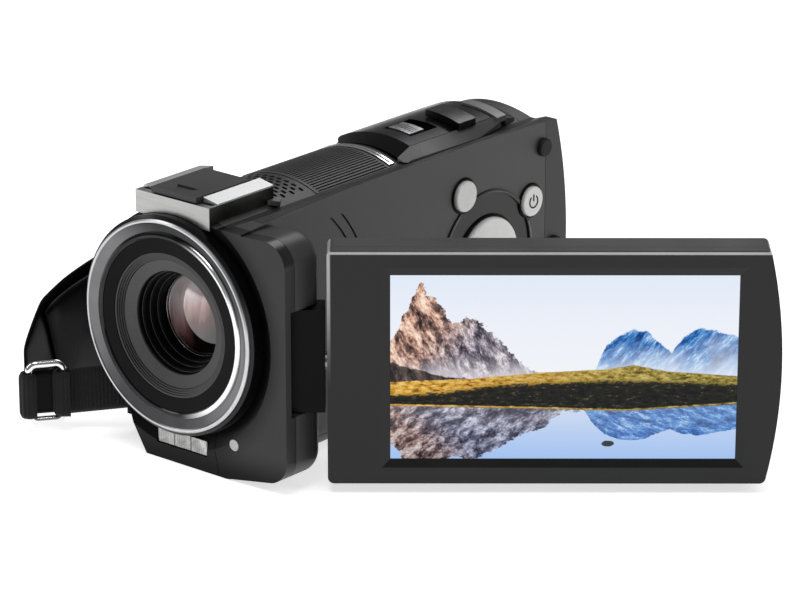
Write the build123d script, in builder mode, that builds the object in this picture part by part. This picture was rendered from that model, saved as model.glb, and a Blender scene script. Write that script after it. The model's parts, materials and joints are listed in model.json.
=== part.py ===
from build123d import *

import os
from math import asin, atan2, cos, degrees, radians, sin, sqrt

# Hand-held camcorder with a swing-out screen, as an assembly of separate pieces.
# Millimetres, origin at the mouth of the tripod socket, +Z up.
# The lens looks along -Y and the screen is on the +X side.

os.makedirs("parts", exist_ok=True)

# ---------------------------------------------------------------- driving dimensions
GAP = 0.12                 # seam between neighbouring covers
WALL = 2.0                 # moulded wall thickness

LENS_Z = 29.7              # optical axis above the base
RING_FRONT = -53.0         # foremost face of the lens ring
FASCIA_FRONT = -51.0       # flat front of the fascia
FASCIA_BACK = -48.2        # seam between the fascia and the shells
REAR_SEAM = 46.0           # seam between the shells and the rear cover
REAR_EDGE = 49.4           # rear end at the base and at the top
REAR_BOW = 4.1             # how far the rear bulges beyond REAR_EDGE

DOME_X = 2.0               # crest line of the domed top and grip side
DOME_Z = 30.0
DOME_R = 24.2
MID_SEAM = 2.4             # seam between the two side shells
BASE_LEFT = -8.0           # flat base runs from here to the rounded corner
BED_X = 18.9               # flat side behind the screen
VALLEY = (12.8, 52.2)      # line where the dome meets the top strip
EDGE_Z = 54.4              # top of the side edge
BASE_SPLIT = 3.4           # seam of the base cover
TOP_SPLIT = 50.6           # seam of the top cover
TOP_LEFT = DOME_X - sqrt(DOME_R**2 - (TOP_SPLIT - DOME_Z) ** 2)

HINGE = (25.9, -45.5)      # vertical swing axis of the screen
HINGE_Z = 26.6             # roll axis height
REST_ANGLE = 50.0          # screen opened from its closed place
ARM_REACH = 8.0            # swing axis to the screen's inner edge
BULGE_X = 30.4             # outer face of the hinge bulge
BULGE_TOP = (51.8, 53.0)   # its top at the dome and at its outer face
BULGE_FOOT = 2.9           # its lowest point at its outer face
BULGE_ROUND = 5.4          # rounding of its two outer corners
BULGE_BACK = -39.6         # its rear face
PIN_R = 1.2                # swing pin and its hole
PIN_HOLE_R = 1.25
SHAFT_R = 1.8              # roll shaft and its hole
SHAFT_HOLE_R = 1.86
NOTCH_Z = (16.5, 38.6)     # notch that holds the hinge block

SCREEN = (68.6, 38.6)      # visible picture, 16:9
PANEL_T = 8.6              # thickness of the screen housing
PANEL_H = 49.0
PANEL_L = 86.9             # inner edge to the corners of the outer end
PANEL_BOW = 2.8            # how far the outer end bulges
SCREEN_IN = 12.4           # housing's inner edge to the picture
BEZEL_T = 2.2
LIP = (1.7, 0.5)           # sloped lip round the picture: width and depth

SHOE_HALF = 10.05          # accessory shoe block, half width
SHOE_Y = (-50.4, -31.4)
SHOE_TOP = 56.1
FOOT_HALF = 9.35           # slot for a standard 18.6 mm foot
FOOT_FLOOR = 54.3

DECK_R = 26.0              # raised top deck, about its own centre
DECK_X = 3.0
DECK_Y = (6.4, 45.0)

PAD_CENTRE = (26.0, 27.6)  # navigation pad on the bed, as (y, z)
PAD_R = 9.4
RING_R = 15.3

SOCKET_R = 2.6
SOCKET_DEPTH = 5.5

GRIP_WIDTH = (3.4, 13.2)   # lower and upper edge of the strap's front webbing

FAR = 200.0                # beyond every surface, for cuts


# ---------------------------------------------------------------- small helpers
def block(x, y, z, mode=Mode.ADD):
    """Box between the limits x, y and z."""
    centre = ((x[0] + x[1]) / 2, (y[0] + y[1]) / 2, (z[0] + z[1]) / 2)
    with Locations(centre):
        Box(x[1] - x[0], y[1] - y[0], z[1] - z[0], mode=mode)


def disc(centre, radius, length, axis, mode=Mode.ADD):
    """Cylinder that starts at centre and runs along axis."""
    with Locations(Plane(origin=centre, z_dir=axis)):
        Cylinder(radius, length, align=(Align.CENTER, Align.CENTER, Align.MIN), mode=mode)


def prism(points, plane, low, high, mode=Mode.ADD, rounding=0.0):
    """Polygon on a plane, extruded between two offsets, with rounded corners."""
    with BuildSketch(plane.offset(low)) as sketch:
        with BuildLine():
            Polyline(*points, close=True)
        make_face()
        if rounding:
            fillet(sketch.vertices(), rounding)
    extrude(sketch.sketch, amount=high - low, mode=mode)


def ring_profile(points, centre=(0, 0, LENS_Z), mode=Mode.ADD):
    """Solid of revolution about the lens axis from (radius, y) points."""
    plane = Plane(origin=centre, x_dir=(1, 0, 0), z_dir=(0, 0, 1))
    with BuildSketch(plane) as sketch:
        with BuildLine():
            Polyline(*points, close=True)
        make_face()
    extrude_axis = Axis(centre, (0, 1, 0))
    revolve(sketch.sketch, axis=extrude_axis, mode=mode)


def widened(limits, gap=GAP):
    """The two limits, each moved outwards by gap."""
    return (limits[0] - gap, limits[1] + gap)


def finish(piece, name):
    """Label one piece and write it."""
    piece.label = name
    export_step(piece, f"parts/{name}.step")


def section_face(inset):
    """Cross-section of the main body, moved inwards by inset, as a face looking along -Y."""
    radius = DOME_R - inset
    to_centre = sqrt((BASE_LEFT - DOME_X) ** 2 + DOME_Z**2)
    lean = degrees(asin(DOME_R / to_centre)) - degrees(asin((DOME_X - BASE_LEFT) / to_centre))
    run = sqrt(to_centre**2 - DOME_R**2)
    touch = (BASE_LEFT - run * sin(radians(lean)), run * cos(radians(lean)))
    crest = (DOME_X, DOME_Z + DOME_R)
    left = (DOME_X - DOME_R, DOME_Z)
    meet = (DOME_X + sqrt(DOME_R**2 - (VALLEY[1] - DOME_Z) ** 2), VALLEY[1])
    with BuildSketch(Plane.XZ) as sketch:
        with BuildLine():
            Line((BASE_LEFT, 0), (BED_X, 0))
            Line((BED_X, 0), (BED_X, EDGE_Z))
            Line((BED_X, EDGE_Z), VALLEY)
            Line(VALLEY, meet)
            ThreePointArc(meet, crest, left)
            middle = radians(180 + (lean) / 2)
            ThreePointArc(left, (DOME_X + DOME_R * cos(middle), DOME_Z + DOME_R * sin(middle)), touch)
            Line(touch, (BASE_LEFT, 0))
        make_face()
        corner = sketch.vertices().sort_by_distance((BED_X, 0, 0))[0]
        fillet(corner, 5.0)
        if inset:
            offset(amount=-inset, mode=Mode.REPLACE)
    return sketch.sketch


def body_form(inset, y_low, y_high):
    """Main body between two depths, with its bowed rear and arched side edge."""
    face = section_face(inset)
    back = max(y_high, REAR_EDGE + REAR_BOW)
    with BuildPart() as form:
        add(extrude(face.moved(Location((0, back, 0))), amount=back - y_low, mode=Mode.PRIVATE))
        with BuildSketch(Plane.YZ.offset(-FAR / 2)) as side:
            with BuildLine():
                Line((-FAR, -1), (REAR_EDGE - inset, -1))
                ThreePointArc((REAR_EDGE - inset, -1), (REAR_EDGE + REAR_BOW - inset, HINGE_Z),
                              (REAR_EDGE - inset, 54.2))
                Line((REAR_EDGE - inset, 54.2), (REAR_EDGE - inset, 70))
                Line((REAR_EDGE - inset, 70), (-FAR, 70))
                Line((-FAR, 70), (-FAR, -1))
            make_face()
        extrude(side.sketch, amount=FAR, mode=Mode.INTERSECT)
        with BuildSketch(Plane.YZ.offset(VALLEY[0] + 0.4)) as arch:
            with BuildLine():
                ThreePointArc((-52, 52.6 - inset), (12, 54.3 - inset), (56, 53.0 - inset))
                Line((56, 53.0 - inset), (56, 70))
                Line((56, 70), (-52, 70))
                Line((-52, 70), (-52, 52.6 - inset))
            make_face()
        extrude(arch.sketch, amount=20, mode=Mode.SUBTRACT)
        if y_high < back:
            block((-FAR, FAR), (y_high, FAR), (-FAR, FAR), mode=Mode.SUBTRACT)
    return form.part


def bulge_form(inset, y_low, y_high):
    """Front corner column that carries the screen hinge."""
    outline = [(8, 0), (14, 0), (BULGE_X, BULGE_FOOT), (BULGE_X, BULGE_TOP[1]), (8, BULGE_TOP[0])]
    with BuildPart() as form:
        with BuildSketch(Plane.XZ.offset(-y_high)) as sketch:
            with BuildLine():
                Polyline(*outline, close=True)
            make_face()
            corners = sketch.vertices().filter_by_position(Axis.X, 20, 40)
            fillet(corners, BULGE_ROUND)
            if inset:
                offset(amount=-inset, mode=Mode.REPLACE)
        extrude(sketch.sketch, amount=y_high - y_low)
    return form.part


# ---------------------------------------------------------------- the whole outer form
with BuildPart() as outer:
    add(body_form(0, FASCIA_FRONT, 60))
    add(bulge_form(0, FASCIA_FRONT, BULGE_BACK))
    upright = outer.edges().filter_by(Axis.Z)
    rear_edges = upright.filter_by_position(Axis.Y, BULGE_BACK - 0.1, BULGE_BACK + 0.1)
    fillet(rear_edges.filter_by_position(Axis.X, BULGE_X - 1, BULGE_X + 1), 3.0)

with BuildPart() as cavity:
    add(body_form(WALL, FASCIA_BACK + 1.4, REAR_SEAM - 1.2))
    block((10, BULGE_X - WALL), (FASCIA_BACK + 1.4, BULGE_BACK - WALL), (4, 49.5))

NOTCH = ((21.6, 40.0), (-49.4, -36.0), NOTCH_Z)
ROLL_RELIEF_R = PANEL_H / 2 + 1.0
swing_dir = (sin(radians(REST_ANGLE)), cos(radians(REST_ANGLE)), 0)
hinge_point = (HINGE[0], HINGE[1], HINGE_Z)
LENS_HOLE_R = 19.2


def beyond_hinge(distance):
    """Point on the screen's roll axis at a distance from the swing axis."""
    return tuple(hinge_point[i] + distance * swing_dir[i] for i in range(3))


DOOR = ((BED_X - 1.3, BED_X + 1), (-11.0, 5.0), (6.0, 20.0))
BATTERY_DOOR = ((-12.0, 12.0), (REAR_SEAM + 1.5, 60.0), (5.0, 31.0))
ROUND_BUTTONS = {
    "silver_button": (18.2, 43.7, 3.35, 1.0),
    "power_button": (40.7, 37.1, 3.3, 1.0),
    "menu_button": (13.0, 14.5, 3.0, 0.9),
    "playback_button": (39.6, 13.2, 3.0, 0.9),
}
BUFFERS = [(45.0, 48.1), (49.0, 25.2)]
BUFFER_R = 2.0


def split_piece(x=(-FAR, FAR), y=(-FAR, FAR), z=(-FAR, FAR)):
    """Hollow slice of the body between three pairs of seams."""
    with BuildPart() as piece:
        add(outer.part)
        block(x, y, z, mode=Mode.INTERSECT)
        add(cavity.part, mode=Mode.SUBTRACT)
    return piece.part


# ---------------------------------------------------------------- casings
LAMP = ((-4.9, 8.7), (3.4, 6.5))
INDICATOR = (16.2, 7.7)
CHIN_TOP = 9.4
DISH = [(0, -60), (26.5, -60), (26.5, FASCIA_FRONT), (23.4, -49.6), (0, -49.6)]
BARREL_BORE = [(0, -60), (LENS_HOLE_R, -60), (LENS_HOLE_R, -40), (0, -40)]


def chin_outline(gap):
    """Front view of the separate panel below the lens, grown by gap."""
    return [(-14, -1), (12.3 + gap, -1), (10.2 + gap, CHIN_TOP + gap), (-14, CHIN_TOP + gap)]


with BuildPart() as front_fascia:
    add(outer.part)
    block((-FAR, FAR), (FASCIA_FRONT, FASCIA_BACK), (-FAR, FAR), mode=Mode.INTERSECT)
    ring_profile(DISH, mode=Mode.SUBTRACT)
    ring_profile(BARREL_BORE, mode=Mode.SUBTRACT)
    block((-SHOE_HALF - GAP, SHOE_HALF + GAP), (-60, -40), (51.2, 60), mode=Mode.SUBTRACT)
    prism(chin_outline(GAP), Plane.XZ, -FASCIA_BACK - 1, -FASCIA_FRONT + 5, mode=Mode.SUBTRACT)
    disc((INDICATOR[0], -60, INDICATOR[1]), 1.3, 30, (0, 1, 0), mode=Mode.SUBTRACT)
    block(*NOTCH, mode=Mode.SUBTRACT)
finish(front_fascia.part, "front_fascia")

with BuildPart() as chin_bezel:
    add(outer.part)
    block((-FAR, FAR), (FASCIA_FRONT, FASCIA_BACK), (-FAR, FAR), mode=Mode.INTERSECT)
    prism(chin_outline(0), Plane.XZ, -FASCIA_BACK - 1, -FASCIA_FRONT + 5, mode=Mode.INTERSECT)
    ring_profile(DISH, mode=Mode.SUBTRACT)
    block(widened(LAMP[0]), (-60, -49.4), widened(LAMP[1]), mode=Mode.SUBTRACT)
finish(chin_bezel.part, "chin_bezel")

with BuildPart() as lamp_window:
    block(LAMP[0], (FASCIA_FRONT + 0.35, -49.4), LAMP[1])
    fillet(lamp_window.edges().filter_by(Axis.Y), 0.3)
finish(lamp_window.part, "lamp_window")

with BuildPart() as indicator_window:
    disc((INDICATOR[0], FASCIA_FRONT + 0.1, INDICATOR[1]), 1.2, 2.6, (0, 1, 0))
finish(indicator_window.part, "indicator_window")

SHELL_Y = (FASCIA_BACK + GAP, REAR_SEAM - GAP)
TOP_RIGHT = BED_X - 0.7
SCREW_PLACES = [(x, y) for x in (-4.5, 11.5) for y in (-38, 40)]
SCREW_R = 1.5

with BuildPart() as base_cover:
    add(split_piece(y=SHELL_Y, z=(-FAR, BASE_SPLIT)))
    disc((0, 0, 0), 6.5, SOCKET_DEPTH + 1.0, (0, 0, 1))
    disc((0, 0, -1), 4.4, SOCKET_DEPTH + 9, (0, 0, 1), mode=Mode.SUBTRACT)
    for x, y in SCREW_PLACES:
        disc((x, y, -1), SCREW_R + 0.1, 1.9, (0, 0, 1), mode=Mode.SUBTRACT)
finish(base_cover.part, "base_cover")

with BuildPart() as tripod_socket:
    disc((0, 0, 0), 4.4, SOCKET_DEPTH + 1.6, (0, 0, 1))
    disc((0, 0, -1), SOCKET_R, SOCKET_DEPTH + 1, (0, 0, 1), mode=Mode.SUBTRACT)
finish(tripod_socket.part, "tripod_socket")

with BuildPart() as base_screws:
    for x, y in SCREW_PLACES:
        disc((x, y, 0.25), SCREW_R, 0.65, (0, 0, 1))
        with Locations((x, y, 0.3)):
            Box(2.0, 0.4, 0.5, mode=Mode.SUBTRACT)
            Box(0.4, 2.0, 0.5, mode=Mode.SUBTRACT)
finish(base_screws.part, "base_screws")

with BuildPart() as grip_shell:
    add(split_piece(x=(-FAR, MID_SEAM - GAP / 2), y=SHELL_Y, z=(BASE_SPLIT + GAP, FAR)))
    block((TOP_LEFT, FAR), (-FAR, FAR), (TOP_SPLIT, FAR), mode=Mode.SUBTRACT)
    ring_profile(BARREL_BORE, mode=Mode.SUBTRACT)
finish(grip_shell.part, "grip_shell")

# solid column round the hinge, and the backing of the dish that lets the screen roll over
with BuildPart() as hinge_column:
    add(outer.part)
    block((19.6, FAR), (SHELL_Y[0], BULGE_BACK + 3), (BASE_SPLIT + GAP, 52), mode=Mode.INTERSECT)

with BuildPart() as dish_backing:
    block((BED_X - 6.0, BED_X - 0.5), (-30, -15), (7, 46))
    add(body_form(0, -45, 40), mode=Mode.INTERSECT)

# two concentric grooves about the hinge
GROOVE_RADII = (33.7, 31.3)
GROOVE_HALF = 0.25
GROOVE_DEPTH = 0.35
with BuildPart() as bed_grooves:
    for radius in GROOVE_RADII:
        start = (BED_X - GROOVE_DEPTH, HINGE[1], HINGE_Z)
        disc(start, radius + GROOVE_HALF, 5, (1, 0, 0))
        disc(start, radius - GROOVE_HALF, 5, (1, 0, 0), mode=Mode.SUBTRACT)
    block((0, 40), (-26, 20), (7, 49.5), mode=Mode.INTERSECT)

with BuildPart() as screen_side_shell:
    add(split_piece(x=(MID_SEAM + GAP / 2, FAR), y=SHELL_Y, z=(BASE_SPLIT + GAP, FAR)))
    block((-FAR, TOP_RIGHT), (BULGE_BACK - 4, FAR), (TOP_SPLIT, FAR), mode=Mode.SUBTRACT)
    block((-FAR, SHOE_HALF + 3), (-FAR, BULGE_BACK - 4), (TOP_SPLIT, FAR), mode=Mode.SUBTRACT)
    ring_profile(BARREL_BORE, mode=Mode.SUBTRACT)
    add(hinge_column.part)
    block(*NOTCH, mode=Mode.SUBTRACT)
    disc((HINGE[0], HINGE[1], NOTCH_Z[0] - 4), PIN_HOLE_R, 30, (0, 0, 1), mode=Mode.SUBTRACT)
    add(dish_backing.part)
    disc(beyond_hinge(ARM_REACH - 0.5), ROLL_RELIEF_R, 60, swing_dir, mode=Mode.SUBTRACT)
    for y, z, radius, proud in ROUND_BUTTONS.values():
        disc((BED_X - 4, y, z), radius + 0.2, 10, (1, 0, 0), mode=Mode.SUBTRACT)
    disc((BED_X - 4, *PAD_CENTRE), PAD_R + 0.25, 10, (1, 0, 0), mode=Mode.SUBTRACT)
    disc((BED_X - 0.5, *PAD_CENTRE), RING_R + 0.05, 10, (1, 0, 0), mode=Mode.SUBTRACT)
    for y, z in BUFFERS:
        disc((BED_X - 0.8, y, z), BUFFER_R + 0.05, 10, (1, 0, 0), mode=Mode.SUBTRACT)
    block((DOOR[0][0] - GAP, FAR), widened(DOOR[1]), widened(DOOR[2]), mode=Mode.SUBTRACT)
    for i in range(6):
        block((BED_X - 3, FAR), (-9 + 1.8 * i, -8.1 + 1.8 * i), (30, 37), mode=Mode.SUBTRACT)
    add(bed_grooves.part, mode=Mode.SUBTRACT)
finish(screen_side_shell.part, "screen_side_shell")


# ---------------------------------------------------------------- top cover and what sits in it
MIC_Y = (-31.2, -20.4)
MIC_PITCH = 1.95
RIB_Y = (-20.2, 2.8)
TRIM_Y = (3.0, 4.6)
INSERT_T = 1.0
SWITCH_WELL = ((0.4, 7.9), (14.0, 22.8))
LEVER = (6.9, 28.4)
LEVER_SLOT = (widened((LEVER[0], LEVER[0]), 3.2), widened((LEVER[1], LEVER[1]), 1.5))
SHUTTER = ((1.9, 11.9), (38.0, 41.0))
DECK_SIDE = [(0, DECK_Y[0]), (DOME_R + 0.3, DECK_Y[0]), (DECK_R, DECK_Y[0] + 4.0), (DECK_R, DECK_Y[1] - 5.0),
             (DOME_R + 0.2, DECK_Y[1]), (0, DECK_Y[1])]


def dome_shell(inner, outer_radius, y, x=(-FAR, FAR), centre_x=DOME_X):
    """Part of a cylindrical skin about the dome's axis, above the side seams."""
    with BuildPart() as skin:
        disc((centre_x, y[0], DOME_Z), outer_radius, y[1] - y[0], (0, 1, 0))
        disc((centre_x, y[0] - 1, DOME_Z), inner, y[1] - y[0] + 2, (0, 1, 0), mode=Mode.SUBTRACT)
        block(x, (-FAR, FAR), (TOP_SPLIT + 0.9, FAR), mode=Mode.INTERSECT)
    return skin.part


with BuildPart() as top_cover:
    add(split_piece(x=(TOP_LEFT + GAP, TOP_RIGHT - GAP), y=SHELL_Y, z=(TOP_SPLIT + GAP, FAR)))
    block((SHOE_HALF + 3 - GAP, FAR), (-FAR, BULGE_BACK - 4 + GAP), (-FAR, FAR), mode=Mode.SUBTRACT)
    block((-SHOE_HALF - GAP, SHOE_HALF + GAP), (-60, SHOE_Y[1] + GAP), (51.2, 60), mode=Mode.SUBTRACT)
    add(dome_shell(DOME_R - INSERT_T - GAP, DOME_R + 2, (MIC_Y[0] - GAP, RIB_Y[1] + GAP), x=(-8.6, 11.9)),
        mode=Mode.SUBTRACT)
    add(dome_shell(DOME_R - INSERT_T - GAP, DOME_R + 2, (TRIM_Y[0] - GAP, TRIM_Y[1] + GAP), x=(-8.6, 11.4)),
        mode=Mode.SUBTRACT)
    block((-6, 10), (-30, -21.5), (40, 60), mode=Mode.SUBTRACT)
    block(*LEVER_SLOT, (40, 60), mode=Mode.SUBTRACT)
    block((5.1, 8.7), (38.7, 40.3), (40, 60), mode=Mode.SUBTRACT)
finish(top_cover.part, "top_cover")

with BuildPart() as microphone_grille:
    add(dome_shell(DOME_R - INSERT_T, DOME_R, MIC_Y, x=(-8.5, 11.8)))
    with BuildSketch(Plane.XY.offset(40)) as mic_holes:
        with Locations([(-5.4 + MIC_PITCH * (column + 0.5 * (row % 2)), MIC_Y[0] + 2.0 + 1.4 * row)
                        for row in range(6) for column in range(8)]):
            SlotOverall(1.35, 0.8)
    extrude(mic_holes.sketch, amount=20, mode=Mode.SUBTRACT)
finish(microphone_grille.part, "microphone_grille")

with BuildPart() as ribbed_panel:
    add(dome_shell(DOME_R - INSERT_T, DOME_R + 0.1, RIB_Y, x=(-8.5, 11.8)))
    for step in range(24):
        angle = radians(-19 + 1.9 * step)
        centre = (DOME_X + DOME_R * sin(angle), RIB_Y[0] + 0.8, DOME_Z + DOME_R * cos(angle))
        with Locations(Location(centre, (0, degrees(angle), 0))):
            Box(0.38, RIB_Y[1] - RIB_Y[0] - 1.4, 0.7, align=(Align.CENTER, Align.MIN, Align.CENTER),
                mode=Mode.SUBTRACT)
finish(ribbed_panel.part, "ribbed_panel")

with BuildPart() as arc_trim:
    add(dome_shell(DOME_R - INSERT_T, DOME_R + 0.35, TRIM_Y, x=(-8.5, 11.3)))
    add(dome_shell(DOME_R, DOME_R + 2, widened(TRIM_Y, -0.4), x=(-7.0, 10.9)), mode=Mode.SUBTRACT)
finish(arc_trim.part, "arc_trim")

with BuildPart() as top_deck:
    with BuildSketch(Plane.XY.offset(50)) as deck_plan:
        with BuildLine():
            Polyline((-8.4, DECK_Y[0]), (13.2, DECK_Y[0]), (13.6, 30.0), (11.0, DECK_Y[1]),
                     (-4.5, DECK_Y[1]), (-8.4, 30.0), close=True)
        make_face()
    extrude(deck_plan.sketch, amount=12)
    ring_profile(DECK_SIDE, centre=(DECK_X, 0, DOME_Z), mode=Mode.INTERSECT)
    disc((DOME_X, 0, DOME_Z), DOME_R + 0.02, 60, (0, 1, 0), mode=Mode.SUBTRACT)
    block((VALLEY[0] - 1.6, 30), (0, 60), (40, VALLEY[1] + 0.35), mode=Mode.SUBTRACT)
    block((-30, -6.6), (0, 60), (40, 53.0), mode=Mode.SUBTRACT)
    side_top = [(8.6, 56.4), (13.9, 52.4), (20, 52.4), (20, 60), (8.6, 60)]
    prism(side_top, Plane.XZ, -60, 0, mode=Mode.SUBTRACT)
    block(*SWITCH_WELL, (40, 60), mode=Mode.SUBTRACT)
    block(*LEVER_SLOT, (40, 60), mode=Mode.SUBTRACT)
    block(widened(SHUTTER[0]), widened(SHUTTER[1]), (40, 60), mode=Mode.SUBTRACT)
finish(top_deck.part, "top_deck")

with BuildPart() as mode_switch:
    front = SWITCH_WELL[1][0] + 0.6
    add(dome_shell(DOME_R + 0.2, DOME_R + 2.0, (front, front + 4.8), x=(1.3, 7.0)))
    for step in range(3):
        groove = front + 1.5 + 0.8 * step
        block((0, 9), (groove, groove + 0.3), (55.75, 60), mode=Mode.SUBTRACT)
finish(mode_switch.part, "mode_switch")

with BuildPart() as zoom_lever:
    add(dome_shell(DECK_R + 0.2, DECK_R + 1.7, widened((LEVER[1], LEVER[1]), 2.8),
                   x=widened((LEVER[0], LEVER[0]), 4.6), centre_x=DECK_X))
    block((LEVER[0] - 1.1, LEVER[0] + 1.1), (LEVER[1] - 1.2, LEVER[1] + 1.2), (49.4, 56.4))
finish(zoom_lever.part, "zoom_lever")

with BuildPart() as photo_button:
    add(dome_shell(DECK_R - 0.75, DECK_R + 0.4, SHUTTER[1], x=SHUTTER[0], centre_x=DECK_X))
    block((5.5, 8.3), (39.0, 40.0), (50.6, 55.4))
finish(photo_button.part, "photo_button")

# ---------------------------------------------------------------- accessory shoe
with BuildPart() as shoe_block:
    block((-SHOE_HALF, SHOE_HALF), SHOE_Y, (51.4, SHOE_TOP))
    block((-FOOT_HALF, FOOT_HALF), (SHOE_Y[0] + 1.5, 0), (FOOT_FLOOR, 60), mode=Mode.SUBTRACT)
    ring_profile([(0, -60), (23.1, -60), (23.1, -49.6), (0, -49.6)], mode=Mode.SUBTRACT)
finish(shoe_block.part, "shoe_block")

with BuildPart() as shoe_rails:
    for side in (-1, 1):
        rail = [(side * 6.3, SHOE_TOP), (side * SHOE_HALF, SHOE_TOP), (side * SHOE_HALF, SHOE_TOP + 0.35),
                (side * 6.3, SHOE_TOP + 1.05)]
        prism(rail, Plane.XZ, -SHOE_Y[1], -SHOE_Y[0] - 2.4)
finish(shoe_rails.part, "shoe_rails")

COVER_END = -34.0
with BuildPart() as shoe_cover:
    block((-9.15, 9.15), (SHOE_Y[0] + 1.7, COVER_END), (FOOT_FLOOR + 0.15, SHOE_TOP - 0.2))
    block((-6.1, 6.1), (SHOE_Y[0] + 1.7, COVER_END), (SHOE_TOP - 0.3, SHOE_TOP + 1.3))
    block((-6.1, 6.1), (SHOE_Y[0] + 0.4, COVER_END), (SHOE_TOP + 0.2, SHOE_TOP + 1.3))
    arrow = [(-3.0, -45.5), (3.0, -45.5), (0, -49.0)]
    prism(arrow, Plane.XY, SHOE_TOP + 0.9, SHOE_TOP + 2, mode=Mode.SUBTRACT)
finish(shoe_cover.part, "shoe_cover")

with BuildPart() as shoe_spring:
    prism([(10.3, -33.6), (12.9, -32.6), (11.4, -30.6), (10.3, -30.8)], Plane.XY, 52.8, 53.8)
finish(shoe_spring.part, "shoe_spring")

# ---------------------------------------------------------------- rear cover, door and record button
RECORD = (-8.0, 41.5, 5.2)
with BuildPart() as rear_core:
    add(body_form(WALL, REAR_SEAM - 3, 60))

with BuildPart() as rear_cover:
    add(outer.part)
    block((-FAR, FAR), (REAR_SEAM, FAR), (-FAR, FAR), mode=Mode.INTERSECT)
    add(rear_core.part, mode=Mode.SUBTRACT)
    block(widened(BATTERY_DOOR[0]), BATTERY_DOOR[1], widened(BATTERY_DOOR[2]), mode=Mode.SUBTRACT)
    disc((RECORD[0], 40, RECORD[1]), RECORD[2] + 0.2, 30, (0, 1, 0), mode=Mode.SUBTRACT)
    disc((4.5, 40, 44.5), 0.95, 30, (0, 1, 0), mode=Mode.SUBTRACT)
    for y, z in BUFFERS:
        disc((BED_X - 0.8, y, z), BUFFER_R + 0.05, 10, (1, 0, 0), mode=Mode.SUBTRACT)
finish(rear_cover.part, "rear_cover")

with BuildPart() as battery_door:
    add(outer.part)
    block(*BATTERY_DOOR, mode=Mode.INTERSECT)
    add(rear_core.part, mode=Mode.SUBTRACT)
finish(battery_door.part, "battery_door")

with BuildPart() as record_button:
    disc((RECORD[0], 48.4, RECORD[1]), RECORD[2], 4.9, (0, 1, 0))
    disc((RECORD[0], 48.2, RECORD[1]), RECORD[2] + 0.8, 0.9, (0, 1, 0))
    disc((RECORD[0], 52.7, RECORD[1]), RECORD[2] - 1.2, 2, (0, 1, 0), mode=Mode.SUBTRACT)
finish(record_button.part, "record_button")

with BuildPart() as status_lamp:
    disc((4.5, 49.2, 44.5), 0.9, 2.9, (0, 1, 0))
finish(status_lamp.part, "status_lamp")

# ---------------------------------------------------------------- controls on the bed
for button_name, (y, z, radius, proud) in ROUND_BUTTONS.items():
    with BuildPart() as button:
        disc((BED_X - 3.2, y, z), radius, 3.2 + proud, (1, 0, 0))
        disc((BED_X - 3.2, y, z), radius + 0.8, 0.9, (1, 0, 0))
        rim = button.edges().filter_by(GeomType.CIRCLE).group_by(Axis.X)[-1]
        fillet(rim, 0.35)
    finish(button.part, button_name)

with BuildPart() as navigation_pad:
    disc((BED_X - 3.2, *PAD_CENTRE), PAD_R, 4.4, (1, 0, 0))
    disc((BED_X - 3.2, *PAD_CENTRE), PAD_R + 0.8, 0.9, (1, 0, 0))
    fillet(navigation_pad.edges().filter_by(GeomType.CIRCLE).group_by(Axis.X)[-1], 0.5)
    disc((BED_X - 5, *PAD_CENTRE), 3.75, 10, (1, 0, 0), mode=Mode.SUBTRACT)
finish(navigation_pad.part, "navigation_pad")

with BuildPart() as pad_centre_button:
    disc((BED_X - 3.2, *PAD_CENTRE), 3.5, 4.6, (1, 0, 0))
    fillet(pad_centre_button.edges().filter_by(GeomType.CIRCLE).group_by(Axis.X)[-1], 0.4)
finish(pad_centre_button.part, "pad_centre_button")

with BuildPart() as control_ring:
    disc((BED_X - 0.5, *PAD_CENTRE), RING_R, 0.8, (1, 0, 0))
    disc((BED_X - 0.1, *PAD_CENTRE), RING_R - 0.8, 2, (1, 0, 0), mode=Mode.SUBTRACT)
    disc((BED_X - 1, *PAD_CENTRE), PAD_R + 0.3, 4, (1, 0, 0), mode=Mode.SUBTRACT)
    for y, z, radius, proud in ROUND_BUTTONS.values():
        disc((BED_X - 1, y, z), radius + 0.3, 4, (1, 0, 0), mode=Mode.SUBTRACT)
finish(control_ring.part, "control_ring")

with BuildPart() as screen_buffers:
    for y, z in BUFFERS:
        disc((BED_X - 0.8, y, z), BUFFER_R, 1.9, (1, 0, 0))
    fillet(screen_buffers.edges().filter_by(GeomType.CIRCLE).group_by(Axis.X)[-1], 0.4)
finish(screen_buffers.part, "screen_buffers")

with BuildPart() as card_door:
    block((DOOR[0][0], BED_X), DOOR[1], DOOR[2])
    for step in range(3):
        block((BED_X - 0.3, BED_X + 1), (-6, 0), (15.4 + 1.3 * step, 15.9 + 1.3 * step), mode=Mode.SUBTRACT)
finish(card_door.part, "card_door")

# ---------------------------------------------------------------- lens
with BuildPart() as lens_barrel:
    ring_profile([(22.35, -52.3), (23.0, -52.0), (23.0, -49.7), (18.9, -49.7), (18.9, -43.2), (12.8, -43.2),
                  (12.8, -44.4), (17.2, -44.4), (17.2, -51.5), (22.35, -51.5)])
finish(lens_barrel.part, "lens_barrel")

with BuildPart() as outer_ring:
    ring_profile([(18.2, -51.55), (22.25, -51.55), (22.25, -52.7), (21.95, RING_FRONT), (21.6, RING_FRONT),
                  (21.35, -52.8), (19.5, -52.15), (19.3, -52.45), (18.9, -52.6), (18.4, -52.5),
                  (18.2, -52.3)])
finish(outer_ring.part, "outer_ring")

with BuildPart() as face_ring:
    ring_profile([(15.2, -51.55), (18.1, -51.55), (18.1, -52.2), (15.2, -52.0)])
finish(face_ring.part, "face_ring")

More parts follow.
